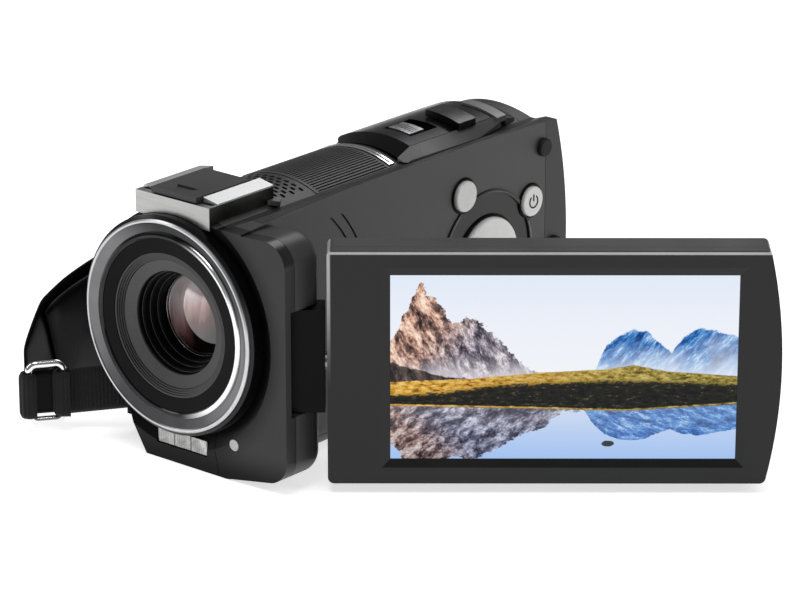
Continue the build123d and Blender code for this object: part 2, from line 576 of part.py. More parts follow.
with BuildPart() as ribbed_ring:
    steps = [(17.0, -51.45), (15.1, -51.45), (15.1, -51.9)]
    for step in range(4):
        radius = 15.1 - 0.4 * (step + 1)
        steps += [(radius, -51.9 + 0.25 * step), (radius, -51.65 + 0.25 * step)]
    steps += [(13.5, -50.5), (17.0, -50.5)]
    ring_profile(steps)
finish(ribbed_ring.part, "ribbed_ring")

with BuildPart() as front_baffle:
    well = [(16.9, -50.4), (13.4, -50.4), (13.4, -50.9), (10.9, -49.9)]
    for step in range(3):
        radius = 10.6 - 0.6 * step
        well += [(radius, -48.6 + 1.6 * step), (radius - 0.5, -48.4 + 1.6 * step)]
    well += [(8.7, -44.2), (16.9, -44.6)]
    ring_profile(well)
finish(front_baffle.part, "front_baffle")


def lens_element(front, back, radius, bulge):
    """Plano-convex glass, its crown facing the front."""
    plane = Plane(origin=(0, 0, LENS_Z), x_dir=(1, 0, 0), z_dir=(0, 0, 1))
    with BuildPart() as glass:
        with BuildSketch(plane) as half:
            with BuildLine():
                chord = radius / 2
                rise = bulge * (1 - (chord / radius) ** 2)
                ThreePointArc((0, front - bulge), (chord, front - rise), (radius, front))
                Line((radius, front), (radius, back))
                Line((radius, back), (0, back))
                Line((0, back), (0, front - bulge))
            make_face()
        revolve(half.sketch, axis=Axis((0, 0, LENS_Z), (0, 1, 0)))
    return glass.part


finish(lens_element(-43.2, -41.2, 8.55, 1.6), "front_lens")
finish(lens_element(-30.2, -28.2, 6.1, 0.9), "zoom_lens")

with BuildPart() as lens_tube:
    ring_profile([(8.6, -43.9), (12.3, -43.9), (12.3, -8.0), (10.2, -8.0), (10.2, -40.0), (8.0, -40.0),
                  (8.0, -41.1), (8.6, -41.1)])
finish(lens_tube.part, "lens_tube")

with BuildPart() as zoom_carriage:
    ring_profile([(6.15, -31.5), (10.13, -31.5), (10.13, -25.5), (5.4, -25.5), (5.4, -28.1), (6.15, -28.1)])
finish(zoom_carriage.part, "zoom_carriage")

# ---------------------------------------------------------------- inside
with BuildPart() as sensor_board:
    block((-12.4, 12.4), (-7.8, -6.6), (LENS_Z - 12, LENS_Z + 12))
    block((-4, 4), (-9.2, -7.8), (LENS_Z - 3.2, LENS_Z + 3.2))
finish(sensor_board.part, "sensor_board")

with BuildPart() as main_board:
    block((12.9, 14.1), (1, 43), (6, 47))
    block((11.2, 12.9), (4, 18), (22, 36))
    block((11.6, 12.9), (24, 34), (12, 20))
finish(main_board.part, "main_board")

with BuildPart() as battery:
    block((-9.5, 9.5), (12, 44.5), (10.5, 30.5))
    fillet(battery.edges().filter_by(Axis.Y), 2.0)
finish(battery.part, "battery")

with BuildPart() as speaker:
    disc((13.2, -4.5, 33.5), 4.6, 3.4, (1, 0, 0))
finish(speaker.part, "speaker")

# ---------------------------------------------------------------- screen
panel_origin = beyond_hinge(ARM_REACH)
panel_normal = (cos(radians(REST_ANGLE)), -sin(radians(REST_ANGLE)), 0)
PANEL = Plane(origin=panel_origin, x_dir=swing_dir, z_dir=panel_normal)
BEZEL_BACK = PANEL_T / 2 - BEZEL_T
SCREEN_CENTRE = (SCREEN_IN + SCREEN[0] / 2, -0.1)


def panel_slab(low, high, inset=0.0):
    """Slab with the outline of the screen housing."""
    half = PANEL_H / 2
    with BuildPart() as slab:
        with BuildSketch(PANEL.offset(low)) as sketch:
            with BuildLine():
                Line((0, -half), (PANEL_L, -half))
                ThreePointArc((PANEL_L, -half), (PANEL_L + PANEL_BOW, 0), (PANEL_L, half))
                Line((PANEL_L, half), (0, half))
                Line((0, half), (0, -half))
            make_face()
            fillet(sketch.vertices(), 1.3)
            if inset:
                offset(amount=-inset, mode=Mode.REPLACE)
        extrude(sketch.sketch, amount=high - low)
    return slab.part


with BuildPart() as screen_back_shell:
    add(panel_slab(-PANEL_T / 2, BEZEL_BACK - 0.04))
    chamfer(screen_back_shell.faces().sort_by(Axis((0, 0, 0), panel_normal))[0].edges(), 0.8)
    add(panel_slab(-PANEL_T / 2 + 1.6, BEZEL_BACK + 1, inset=1.8), mode=Mode.SUBTRACT)
    disc(hinge_point, SHAFT_R, 16, swing_dir, mode=Mode.SUBTRACT)
finish(screen_back_shell.part, "screen_back_shell")

with BuildPart() as screen_bezel:
    add(panel_slab(BEZEL_BACK + 0.04, PANEL_T / 2))
    with BuildSketch(PANEL.offset(BEZEL_BACK - 1)) as window:
        with Locations(SCREEN_CENTRE):
            Rectangle(*SCREEN)
    extrude(window.sketch, amount=6, mode=Mode.SUBTRACT)
    with BuildSketch(PANEL.offset(PANEL_T / 2)) as lip:
        with Locations(SCREEN_CENTRE):
            Rectangle(SCREEN[0] + 2 * LIP[0], SCREEN[1] + 2 * LIP[0])
    extrude(lip.sketch, amount=-LIP[1], taper=degrees(atan2(LIP[0], LIP[1])), mode=Mode.SUBTRACT)
finish(screen_bezel.part, "screen_bezel")

with BuildPart() as display_panel:
    with BuildSketch(PANEL.offset(-0.6)) as module:
        with Locations(SCREEN_CENTRE):
            Rectangle(SCREEN[0] + 4, SCREEN[1] + 3)
    extrude(module.sketch, amount=BEZEL_BACK + 0.5)
finish(display_panel.part, "display_panel")

with BuildPart() as screen_glass:
    with BuildSketch(PANEL.offset(BEZEL_BACK)) as pane:
        with Locations(SCREEN_CENTRE):
            Rectangle(SCREEN[0] - 0.1, SCREEN[1] - 0.1)
    extrude(pane.sketch, amount=BEZEL_T - LIP[1] - 0.1)
finish(screen_glass.part, "screen_glass")

with BuildPart() as roll_shaft:
    disc(beyond_hinge(2.6), SHAFT_R, 10.4, swing_dir)
finish(roll_shaft.part, "roll_shaft")

with BuildPart() as hinge_block:
    disc((HINGE[0], HINGE[1], NOTCH_Z[0] + 0.3), 3.2, NOTCH_Z[1] - NOTCH_Z[0] - 0.6, (0, 0, 1))
    with BuildSketch(Plane(origin=hinge_point, x_dir=swing_dir, z_dir=panel_normal).offset(-3.2)) as arm:
        with Locations((3.8, (NOTCH_Z[0] + NOTCH_Z[1]) / 2 - HINGE_Z)):
            Rectangle(7.5, NOTCH_Z[1] - NOTCH_Z[0] - 0.6)
    extrude(arm.sketch, amount=6.4)
    disc((HINGE[0], HINGE[1], NOTCH_Z[0] - 4), PIN_HOLE_R, 30, (0, 0, 1), mode=Mode.SUBTRACT)
    disc(beyond_hinge(2.3), SHAFT_HOLE_R, 10, swing_dir, mode=Mode.SUBTRACT)
finish(hinge_block.part, "hinge_block")

with BuildPart() as hinge_pin:
    disc((HINGE[0], HINGE[1], NOTCH_Z[0] - 3.6), PIN_R, NOTCH_Z[1] - NOTCH_Z[0] + 7.2, (0, 0, 1))
finish(hinge_pin.part, "hinge_pin")

# ---------------------------------------------------------------- hand strap
with BuildPart() as strap_pad:
    with BuildSketch(Plane.XY) as strap_plan:
        with BuildLine():
            ThreePointArc((-36.5, -57.0), (-48.0, -8), (-30, 45))
            Line((-30, 45), (-27, 42))
            ThreePointArc((-27, 42), (-42.8, -8), (-33.3, -54.4))
            Line((-33.3, -54.4), (-36.5, -57.0))
        make_face()
    extrude(strap_plan.sketch, amount=40)
    with BuildSketch(Plane.YZ.offset(-60)) as strap_side:
        with BuildLine():
            Polyline((-54.4, 9.0), (-47.5, 3.0), (-38, 1.2), (12, 1.0), (30, 4.5), (48, 11.0), (48, 23.0),
                     (25, 28.0), (4, 30.5), (-18, 28.8), (-38, 26.6), (-47.5, 25.0), (-52.5, 20.0),
                     (-54.4, 16.5), close=True)
        make_face()
    extrude(strap_side.sketch, amount=60, mode=Mode.INTERSECT)
finish(strap_pad.part, "strap_pad")


def anchor(y_low, y_high, z_low, z_high, reach):
    """Lug that stands on the grip side and holds the webbing."""
    with BuildPart() as lug:
        block((-reach, -10), (y_low, y_high), (z_low, z_high))
        add(outer.part, mode=Mode.SUBTRACT)
    return lug.part


finish(anchor(-44.0, -38.5, GRIP_WIDTH[0] + 0.3, GRIP_WIDTH[1] + 0.2, 20.0), "strap_anchor_front")
finish(anchor(36.0, 41.5, 10.5, 21.3, 23.5), "strap_anchor_rear")


def webbing(start, end, z_low, z_high, thickness):
    """Straight flat band between two places in plan."""
    length = sqrt((end[0] - start[0]) ** 2 + (end[1] - start[1]) ** 2)
    along = ((end[0] - start[0]) / length, (end[1] - start[1]) / length, 0)
    with BuildPart() as band:
        with BuildSketch(Plane(origin=(*start, z_low), x_dir=along, z_dir=(0, 0, 1))) as foot:
            with Locations((length / 2, 0)):
                Rectangle(length, thickness)
        extrude(foot.sketch, amount=z_high - z_low)
    return band.part


finish(webbing((-20.7, -42.4), (-29.6, -50.9), *GRIP_WIDTH, 1.6), "strap_webbing_front")
finish(webbing((-24.3, 39.3), (-27.3, 40.6), 10.9, 20.9, 1.6), "strap_webbing_rear")

RING_WIRE_R = 0.8
with BuildPart() as strap_ring:
    with BuildLine() as loop:
        low, high = GRIP_WIDTH[0] - 0.9, GRIP_WIDTH[1] + 1.6
        FilletPolyline((-30.2, -52.4, low), (-34.4, -58.0, low), (-34.4, -58.0, high), (-30.2, -52.4, high),
                       radius=1.6, close=True)
    with BuildSketch(Plane(origin=loop.line @ 0, z_dir=loop.line % 0)):
        Circle(RING_WIRE_R)
    sweep(path=loop.line)
finish(strap_ring.part, "strap_ring")
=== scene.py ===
import json
from math import cos, pi, radians, sin, sqrt

import bmesh
import bpy
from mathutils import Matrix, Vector


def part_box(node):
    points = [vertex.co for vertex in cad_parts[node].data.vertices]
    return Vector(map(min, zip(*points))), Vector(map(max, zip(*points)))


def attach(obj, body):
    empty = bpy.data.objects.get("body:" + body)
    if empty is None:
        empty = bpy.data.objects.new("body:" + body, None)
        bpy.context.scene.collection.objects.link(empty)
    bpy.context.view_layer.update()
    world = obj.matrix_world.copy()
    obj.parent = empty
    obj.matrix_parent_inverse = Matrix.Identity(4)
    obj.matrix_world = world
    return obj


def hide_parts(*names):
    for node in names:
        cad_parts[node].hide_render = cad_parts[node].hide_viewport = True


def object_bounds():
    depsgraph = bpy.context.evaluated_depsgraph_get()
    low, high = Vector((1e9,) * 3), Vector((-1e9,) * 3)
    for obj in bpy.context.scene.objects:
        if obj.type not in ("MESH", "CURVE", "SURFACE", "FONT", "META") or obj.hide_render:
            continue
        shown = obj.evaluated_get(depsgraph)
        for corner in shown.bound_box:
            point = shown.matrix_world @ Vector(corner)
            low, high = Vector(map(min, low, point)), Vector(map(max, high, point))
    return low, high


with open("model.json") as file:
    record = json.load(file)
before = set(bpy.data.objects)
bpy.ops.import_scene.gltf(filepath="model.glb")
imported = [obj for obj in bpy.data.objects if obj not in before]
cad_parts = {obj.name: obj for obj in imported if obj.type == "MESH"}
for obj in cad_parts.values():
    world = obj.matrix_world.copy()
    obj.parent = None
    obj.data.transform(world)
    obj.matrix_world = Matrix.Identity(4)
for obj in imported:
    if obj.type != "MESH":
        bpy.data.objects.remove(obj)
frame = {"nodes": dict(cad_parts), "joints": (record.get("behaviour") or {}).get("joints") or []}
cad_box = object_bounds()

MM = 0.001
nodes = frame["nodes"]
joints = {joint["name"]: joint for joint in frame["joints"]}

# ---------------------------------------------------------------- places taken from the frame
# The screen's own axes start at its roll hinge: along the panel, up, and out of the picture.
ring_low, ring_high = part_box("outer_ring")
LENS_X = (ring_low.x + ring_high.x) / 2
LENS_Z = (ring_low.z + ring_high.z) / 2
roll = joints["screen_roll"]
HINGE = Vector(roll["pos_m"])
ALONG = -Vector(roll["axis"])
UP = Vector((0, 0, 1))
FACING = ALONG.cross(UP)
PANEL_AXES = (ALONG, UP, FACING)


def local_limits(node, origin, axes):
    """Lowest and highest reach of a CAD node along each axis, from an origin."""
    places = [vertex.co - origin for vertex in nodes[node].data.vertices]
    return [(min(p.dot(a) for p in places), max(p.dot(a) for p in places)) for a in axes]


# ---------------------------------------------------------------- camera, light and floor
AIM = Vector((23.8, -8.3, 28.3)) * MM
AZIMUTH = radians(40.1)
ELEVATION = radians(19.4)
CAMERA_DISTANCE = 0.819
FOCAL_LENGTH = 179.7
LIGHT_DISTANCE = 1.0
LIGHTS = [  # name, azimuth and elevation in degrees, width and height in metres, power in watts
    ("top_light", 10, 72, 0.5, 0.35, 3.2),
    ("left_light", -60, 30, 0.25, 0.6, 1.8),
    ("right_light", 105, 38, 0.25, 0.6, 1.6),
    ("rear_light", 200, 45, 0.5, 0.35, 2.0),
]
AMBIENT = 0.2
FLOOR_HALF = 3.0
FLOOR_GAP = 0.1 * MM
FLOOR_GLOW = 0.72


def direction(azimuth, elevation):
    """Unit vector from the object towards a viewer; azimuth 0 is in front of the lens."""
    return Vector((sin(azimuth) * cos(elevation), -cos(azimuth) * cos(elevation), sin(elevation)))


def aimed(name, data, azimuth, elevation, distance):
    """Camera or light that looks at the object from a distance."""
    item = bpy.data.objects.new(name, data)
    bpy.context.scene.collection.objects.link(item)
    towards = direction(azimuth, elevation)
    item.location = AIM + towards * distance
    item.rotation_euler = (-towards).to_track_quat("-Z", "Y").to_euler()
    return item


def add_camera():
    data = bpy.data.cameras.new("camera")
    data.lens = FOCAL_LENGTH
    bpy.context.scene.camera = aimed("camera", data, AZIMUTH, ELEVATION, CAMERA_DISTANCE)


def add_softbox(name, azimuth, elevation, width, height, power):
    """Rectangular soft light aimed at the object."""
    data = bpy.data.lights.new(name, "AREA")
    data.shape = "RECTANGLE"
    data.size, data.size_y = width, height
    data.energy = power
    aimed(name, data, radians(azimuth), radians(elevation), LIGHT_DISTANCE)


def add_studio():
    """White surroundings, four soft lights and a paper floor that glows a little."""
    world = bpy.data.worlds.new("studio")
    world.use_nodes = True
    background = world.node_tree.nodes["Background"]
    background.inputs["Color"].default_value = (1, 1, 1, 1)
    background.inputs["Strength"].default_value = AMBIENT
    bpy.context.scene.world = world
    bpy.context.scene.view_settings.view_transform = "Standard"
    for light in LIGHTS:
        add_softbox(*light)

    mesh = bpy.data.meshes.new("floor")
    level = cad_box[0].z - FLOOR_GAP
    corners = [(x * FLOOR_HALF, y * FLOOR_HALF, level) for x, y in ((-1, -1), (1, -1), (1, 1), (-1, 1))]
    mesh.from_pydata(corners, [], [(0, 1, 2, 3)])
    floor = bpy.data.objects.new("floor", mesh)
    bpy.context.scene.collection.objects.link(floor)
    look = Graph("floor_paper")
    tone = look.mottle(look.noise(6, detail=3), rgb(243, 243, 243), rgb(247, 247, 247))
    look.set("Base Color", tone)
    look.set("Emission Color", tone)
    look.set("Roughness", 0.9)
    look.set("Emission Strength", FLOOR_GLOW)
    mesh.materials.append(look.material)


# ---------------------------------------------------------------- shader helpers
NOISE_LOW, NOISE_HIGH = 0.3, 0.7


def rgb(red, green, blue):
    """Linear colour from the everyday 0 to 255 scale."""
    def linear(value):
        share = value / 255
        return share / 12.92 if share < 0.04045 else ((share + 0.055) / 1.055) ** 2.4
    return (linear(red), linear(green), linear(blue), 1)


def feed(tree, value, place):
    """Puts a field, another node's output or a plain value into a node's input."""
    source = value.socket if isinstance(value, Field) else value
    if isinstance(source, bpy.types.NodeSocket):
        tree.links.new(source, place)
    else:
        place.default_value = source


class Field:
    """A number that varies over a surface; arithmetic on it adds Math nodes."""

    def __init__(self, tree, socket):
        self.tree, self.socket = tree, socket

    def join(self, operation, first, second=0.0):
        node = self.tree.nodes.new("ShaderNodeMath")
        node.operation = operation
        for place, value in zip(node.inputs, (first, second)):
            feed(self.tree, value, place)
        return Field(self.tree, node.outputs[0])

    def __add__(self, other):
        return self.join("ADD", self, other)

    __radd__ = __add__

    def __sub__(self, other):
        return self.join("SUBTRACT", self, other)

    def __rsub__(self, other):
        return self.join("SUBTRACT", other, self)

    def __mul__(self, other):
        return self.join("MULTIPLY", self, other)

    __rmul__ = __mul__

    def size(self):
        return self.join("ABSOLUTE", self)

    def root(self):
        return self.join("SQRT", self)

    def wave(self):
        return self.join("SINE", self)

    def rise(self, low, high):
        """0 below low, 1 above high, smooth between."""
        node = self.tree.nodes.new("ShaderNodeMapRange")
        node.interpolation_type = "SMOOTHSTEP"
        for name, value in (("Value", self), ("From Min", low), ("From Max", high)):
            feed(self.tree, value, node.inputs[name])
        return Field(self.tree, node.outputs["Result"])

    def profile(self, points):
        """Height of a line through (place, height) points."""
        node = self.tree.nodes.new("ShaderNodeFloatCurve")
        self.tree.links.new(self.socket, node.inputs["Value"])
        curve = node.mapping.curves[0]
        curve.points[0].location, curve.points[1].location = points[0], points[-1]
        for place, height in points[1:-1]:
            curve.points.new(place, height)
        for point in curve.points:
            point.handle_type = "VECTOR"
        node.mapping.update()
        return Field(self.tree, node.outputs["Value"])


class Graph:
    """Shorthand for the nodes of one material."""

    def __init__(self, name):
        self.material = bpy.data.materials.new(name)
        self.material.use_nodes = True
        self.tree = self.material.node_tree
        self.shader = self.tree.nodes["Principled BSDF"]
        self.place = self.tree.nodes.new("ShaderNodeTexCoord").outputs["Object"]

    def set(self, name, value):
        """Sets an input of the surface shader to a value or a field."""
        feed(self.tree, value, self.shader.inputs[name])

    def vector(self, *parts):
        node = self.tree.nodes.new("ShaderNodeCombineXYZ")
        for part, place in zip(parts, node.inputs):
            feed(self.tree, part, place)
        return node.outputs[0]

    def along(self, axis, origin=(0, 0, 0)):
        """Distance of the surface point from origin along an axis, in metres."""
        node = self.tree.nodes.new("ShaderNodeVectorMath")
        node.operation = "DOT_PRODUCT"
        self.tree.links.new(self.place, node.inputs[0])
        node.inputs[1].default_value = axis
        return Field(self.tree, node.outputs["Value"]) - Vector(origin).dot(Vector(axis))

    def across_lens(self, unit=MM):
        """Distance to the side of the lens axis and height above it, in the given unit."""
        return (self.along((1, 0, 0), (LENS_X, 0, 0)) * (1 / unit),
                self.along((0, 0, 1), (0, 0, LENS_Z)) * (1 / unit))

    def lens_radius(self):
        """Distance from the lens axis in millimetres."""
        side, height = self.across_lens()
        return (side * side + height * height).root()

    def noise(self, scale, detail=2.0, stretch=(1, 1, 1), distortion=0.0, at=None, roughness=0.5):
        """Noise with scale features per metre, stretched along the axes."""
        mapping = self.tree.nodes.new("ShaderNodeMapping")
        mapping.inputs["Scale"].default_value = stretch
        self.tree.links.new(at or self.place, mapping.inputs["Vector"])
        node = self.tree.nodes.new("ShaderNodeTexNoise")
        node.inputs["Scale"].default_value = scale
        node.inputs["Detail"].default_value = detail
        node.inputs["Roughness"].default_value = roughness
        node.inputs["Distortion"].default_value = distortion
        self.tree.links.new(mapping.outputs[0], node.inputs["Vector"])
        return Field(self.tree, node.outputs["Fac"])

    def cells(self, scale):
        node = self.tree.nodes.new("ShaderNodeTexVoronoi")
        node.inputs["Scale"].default_value = scale
        self.tree.links.new(self.place, node.inputs["Vector"])
        return Field(self.tree, node.outputs["Distance"])

    def ramp(self, source, stops):
        """Colour that follows a field through (place, colour) stops."""
        node = self.tree.nodes.new("ShaderNodeValToRGB")
        self.tree.links.new(source.socket, node.inputs["Fac"])
        for element, (place, colour) in zip(node.color_ramp.elements, (stops[0], stops[-1])):
            element.position, element.color = place, colour
        for place, colour in stops[1:-1]:
            node.color_ramp.elements.new(place).color = colour
        return node.outputs["Color"]

    def mottle(self, source, deep, light):
        """Colour between two tones, over the middle range of a noise."""
        return self.ramp(source, [(NOISE_LOW, deep), (NOISE_HIGH, light)])

    def mix(self, weight, first, second, blend="MIX"):
        """Colour first where weight is 0, second (or its blend with first) where it is 1."""
        node = self.tree.nodes.new("ShaderNodeMix")
        node.data_type = "RGBA"
        node.blend_type = blend
        colour_inputs = [place for place in node.inputs if place.type == "RGBA"]
        for value, place in zip((weight, first, second), [node.inputs["Factor"], *colour_inputs]):
            feed(self.tree, value, place)
        return next(place for place in node.outputs if place.type == "RGBA")

    def roughness(self, source, low, high):
        """Sheen between two roughness values, over the middle range of a noise."""
        node = self.tree.nodes.new("ShaderNodeMapRange")
        settings = {"Value": source, "From Min": NOISE_LOW, "From Max": NOISE_HIGH,
                    "To Min": low, "To Max": high}
        for name, value in settings.items():
            feed(self.tree, value, node.inputs[name])
        self.set("Roughness", node.outputs["Result"])

    def bump(self, height, depth, strength=0.5):
        """Relief of the given depth in metres."""
        node = self.tree.nodes.new("ShaderNodeBump")
        node.inputs["Strength"].default_value = strength
        node.inputs["Distance"].default_value = depth
        feed(self.tree, height, node.inputs["Height"])
        self.set("Normal", node.outputs["Normal"])


def plastic(name, deep, light, rough, grain=2600, relief=0.02, coat=0.0, gloss=0.5):
    """Moulded plastic: faint mottling, sparked grain and uneven sheen."""
    look = Graph(name)
    cloud = look.noise(70, detail=4)
    fine = look.noise(grain, detail=2)
    look.set("Base Color", look.ramp(cloud * 0.75 + fine * 0.25, [(0.35, deep), (0.65, light)]))
    look.roughness(cloud * 0.5 + fine * 0.5, *rough)
    look.bump(fine, relief * MM)
    look.set("Coat Weight", coat)
    look.set("Coat Roughness", 0.12)
    look.set("Specular IOR Level", gloss)
    return look.material


def metal(name, deep, light, rough, stretch=(1, 1, 1), relief=0.006):
    """Bare or plated metal with drawn grain and faint smears."""
    look = Graph(name)
    drawn = look.noise(1800, detail=3, stretch=stretch)
    smear = look.noise(70, detail=2)
    look.set("Base Color", look.mottle(drawn * 0.6 + smear * 0.4, deep, light))
    look.roughness(drawn * 0.8 + smear * 0.2, *rough)
    look.bump(drawn, relief * MM, 0.35)
    look.set("Metallic", 1.0)
    return look.material


def leather(name):
    """Smooth coated wrap with a fine pebble."""
    look = Graph(name)
    pebble = look.cells(1500)
    cloud = look.noise(60, detail=4)
    look.set("Base Color", look.mottle(cloud, rgb(2, 2, 3), rgb(8, 8, 9)))
    look.roughness(cloud, 0.3, 0.44)
    look.set("Specular IOR Level", 0.09)
    look.bump(pebble * 0.6 + look.noise(500, detail=3) * 0.4, 0.05 * MM, 0.45)
    return look.material


def woven(name):
    """Narrow-woven polyester band."""
    look = Graph(name)
    across = look.along((0, 0, 1))
    run = look.along((0.72, 0.69, 0))
    threads = (across * (2 * pi / (0.42 * MM))).wave() * (run * (2 * pi / (0.62 * MM))).wave()
    fuzz = look.noise(5200, detail=3)
    weave = threads * 0.35 + fuzz * 0.65
    look.set("Base Color", look.ramp(weave, [(0.1, rgb(6, 6, 7)), (0.75, rgb(46, 46, 48))]))
    look.roughness(fuzz, 0.62, 0.85)
    look.bump(weave, 0.14 * MM, 0.7)
    look.set("Specular IOR Level", 0.2)
    look.set("Sheen Weight", 0.06)
    look.set("Sheen Roughness", 0.5)
    return look.material


def ring_metal(name):
    """Lens ring by radius: bright outer bead, a conical channel with painted reflection and shade, and an
    inner bead with a painted highlight on its screen side.
    """
    look = Graph(name)
    side, height = look.across_lens()
    radius = look.lens_radius()
    spun = look.noise(300, detail=2)
    # Painted reflection and shade on the channel: pale towards the bottom and the strap side, dark towards
    # the top and the screen side.
    shade = (height * 0.8 + side * 0.35).rise(6.0, 17.0)
    # Painted highlight on the inner bead: bright on its screen side, dark on its strap side.
    bead_painted_highlight = side.rise(3.0, 12.0)
    past_inner_bead = radius.rise(19.35, 19.5)
    past_channel = radius.rise(21.5, 21.65)
    channel_tone = look.mix(shade, look.mottle(spun, rgb(108, 108, 110), rgb(116, 116, 118)),
                            look.mottle(spun, rgb(34, 34, 35), rgb(42, 42, 43)))
    inner_tone = look.mix(bead_painted_highlight, look.mottle(spun, rgb(40, 40, 41), rgb(52, 52, 53)),
                          look.mottle(spun, rgb(226, 226, 228), rgb(238, 238, 240)))
    outer_tone = look.mottle(spun, rgb(186, 186, 188), rgb(202, 202, 204))
    tone = look.mix(past_inner_bead, inner_tone, channel_tone)
    look.set("Base Color", look.mix(past_channel, tone, outer_tone))
    look.set("Roughness", past_inner_bead * 0.16 + spun * 0.06 + 0.1)
    look.bump((radius * 21.0).wave(), 0.003 * MM, 0.2)
    look.set("Metallic", 0.9)
    return look.material


def lens_well(name):
    """Moulded baffle by radius: grey cone outside, near-black steps inside."""
    look = Graph(name)
    radius = look.lens_radius()
    cone = radius.rise(10.75, 10.95)
    grain = look.noise(3600, detail=2)
    deep = look.mottle(grain, rgb(2, 2, 2), rgb(7, 7, 7))
    light = look.mottle(grain, rgb(60, 60, 60), rgb(72, 72, 72))
    look.set("Base Color", look.mix(cone, deep, light))
    look.set("Specular IOR Level", cone * 0.35 + 0.05)
    look.roughness(grain, 0.42, 0.55)
    look.bump((radius * 16.0).wave(), 0.004 * MM, 0.2)
    return look.material


def front_paint(name):
    """Satin front paint, with painted shade that darkens it and dims its gloss towards the lens dish and the
    base.
    """
    look = Graph(name)
    _, height = look.across_lens()
    cloud = look.noise(60, detail=3)
    # Painted shade: the paint is drawn darker, and its gloss dimmer, within the lens dish and near the base.
    clear_of_painted_shade = look.lens_radius().rise(23.5, 31.0) * (height + 30.0).rise(1.0, 9.0)
    deep = look.mottle(cloud, rgb(3, 3, 3), rgb(8, 8, 8))
    light = look.mottle(cloud, rgb(22, 22, 22), rgb(30, 30, 30))
    look.set("Base Color", look.mix(clear_of_painted_shade, deep, light))
    look.set("Specular IOR Level", clear_of_painted_shade * 0.25 + 0.1)
    look.roughness(cloud, 0.26, 0.34)
    look.bump(look.noise(2200, detail=2), 0.004 * MM)
    return look.material


def shoe_metal(name):
    """Satin block, pale in front; its flank darker and warmer, which is painted shade, with bands of painted
    reflection along its depth.
    """
    look = Graph(name)
    low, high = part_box("shoe_block")
    flank = look.along((1, 0, 0), (high.x, 0, 0)).rise(-0.08 * MM, -0.02 * MM)
    depth = look.along((0, 1, 0), (0, low.y, 0)) * (1 / (high.y - low.y))
    drawn = look.noise(1500, detail=3, stretch=(0.1, 1, 1))
    front = look.mottle(drawn, rgb(164, 164, 162), rgb(180, 180, 178))
    # Painted shade and reflection: the flank of the same metal is drawn darker, with lighter and darker bands
    # from front to back.
    flank_painted_shade_and_reflection = look.ramp(depth + drawn * 0.1, [(0.0, rgb(110, 112, 104)), (0.3, rgb(74, 76, 70)),
                                           (0.75, rgb(112, 114, 106)), (1.0, rgb(64, 66, 60))])
    look.set("Base Color", look.mix(flank, front, flank_painted_shade_and_reflection))
    look.roughness(drawn, 0.3, 0.4)
    look.set("Metallic", 1.0)
    look.bump(drawn, 0.004 * MM, 0.3)
    return look.material


def deck_paint(name):
    """Gloss black deck, with a painted reflection that makes its chamfered edge along the screen side paler,
    fading towards the rear.
    """
    look = Graph(name)
    low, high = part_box("top_deck")
    edge = look.along((1, 0, 0), (high.x, 0, 0)) * (1 / MM)
    drop = look.along((0, 0, 1), (0, 0, high.z)) * (1 / MM)
    depth = look.along((0, 1, 0), (0, low.y, 0)) * (1 / (high.y - low.y))
    cloud = look.noise(60, detail=2)
    # Painted reflection: the chamfered edge along the screen side is drawn pale, less so towards the rear.
    chamfer_painted_reflection = edge.rise(-2.95, -2.75) * drop.rise(-4.0, -3.6) * (1 - depth.rise(0.15, 0.75) * 0.6)
    deep = look.mottle(cloud, rgb(5, 5, 6), rgb(9, 9, 10))
    light = look.mottle(cloud, rgb(104, 104, 105), rgb(122, 122, 123))
    look.set("Base Color", look.mix(chamfer_painted_reflection, deep, light))
    look.roughness(cloud, 0.2, 0.28)
    look.set("Specular IOR Level", 0.16)
    look.bump(look.noise(2200, detail=2), 0.003 * MM)
    return look.material


def screen_surround(name):
    """Dark housing with painted light: a paler top face, and painted highlights as a bright line along the
    upper front edge and down its left end.
    """
    look = Graph(name)
    (left, _), (_, top), _ = local_limits("screen_bezel", HINGE, PANEL_AXES)
    up = look.along(UP, HINGE + UP * top) * (1 / MM)
    run = look.along(ALONG, HINGE + ALONG * left) * (1 / MM)
    cloud = look.noise(50, detail=3)
    body = look.mottle(cloud, rgb(10, 10, 10), rgb(17, 17, 17))
    # Painted light: the top face is drawn paler than the rest of the housing.
    top_painted_light = look.mottle(cloud, rgb(58, 58, 59), rgb(70, 70, 71))
    # Painted highlights: bright lines along the upper front edge and down the left end.
    line = look.mottle(cloud, rgb(168, 168, 169), rgb(188, 188, 189))
    tone = look.mix(up.rise(-0.25, -0.1), body, top_painted_light)
    tone = look.mix(up.rise(-1.0, -0.8) * (1 - up.rise(-0.45, -0.25)), tone, line)
    tone = look.mix((1 - run.rise(0.5, 0.8)) * up.rise(-30.0, -1.0), tone, line)
    look.set("Base Color", tone)
    look.roughness(cloud, 0.26, 0.36)
    look.set("Specular IOR Level", 0.32)
    look.bump(look.noise(2400, detail=2), 0.004 * MM)
    return look.material


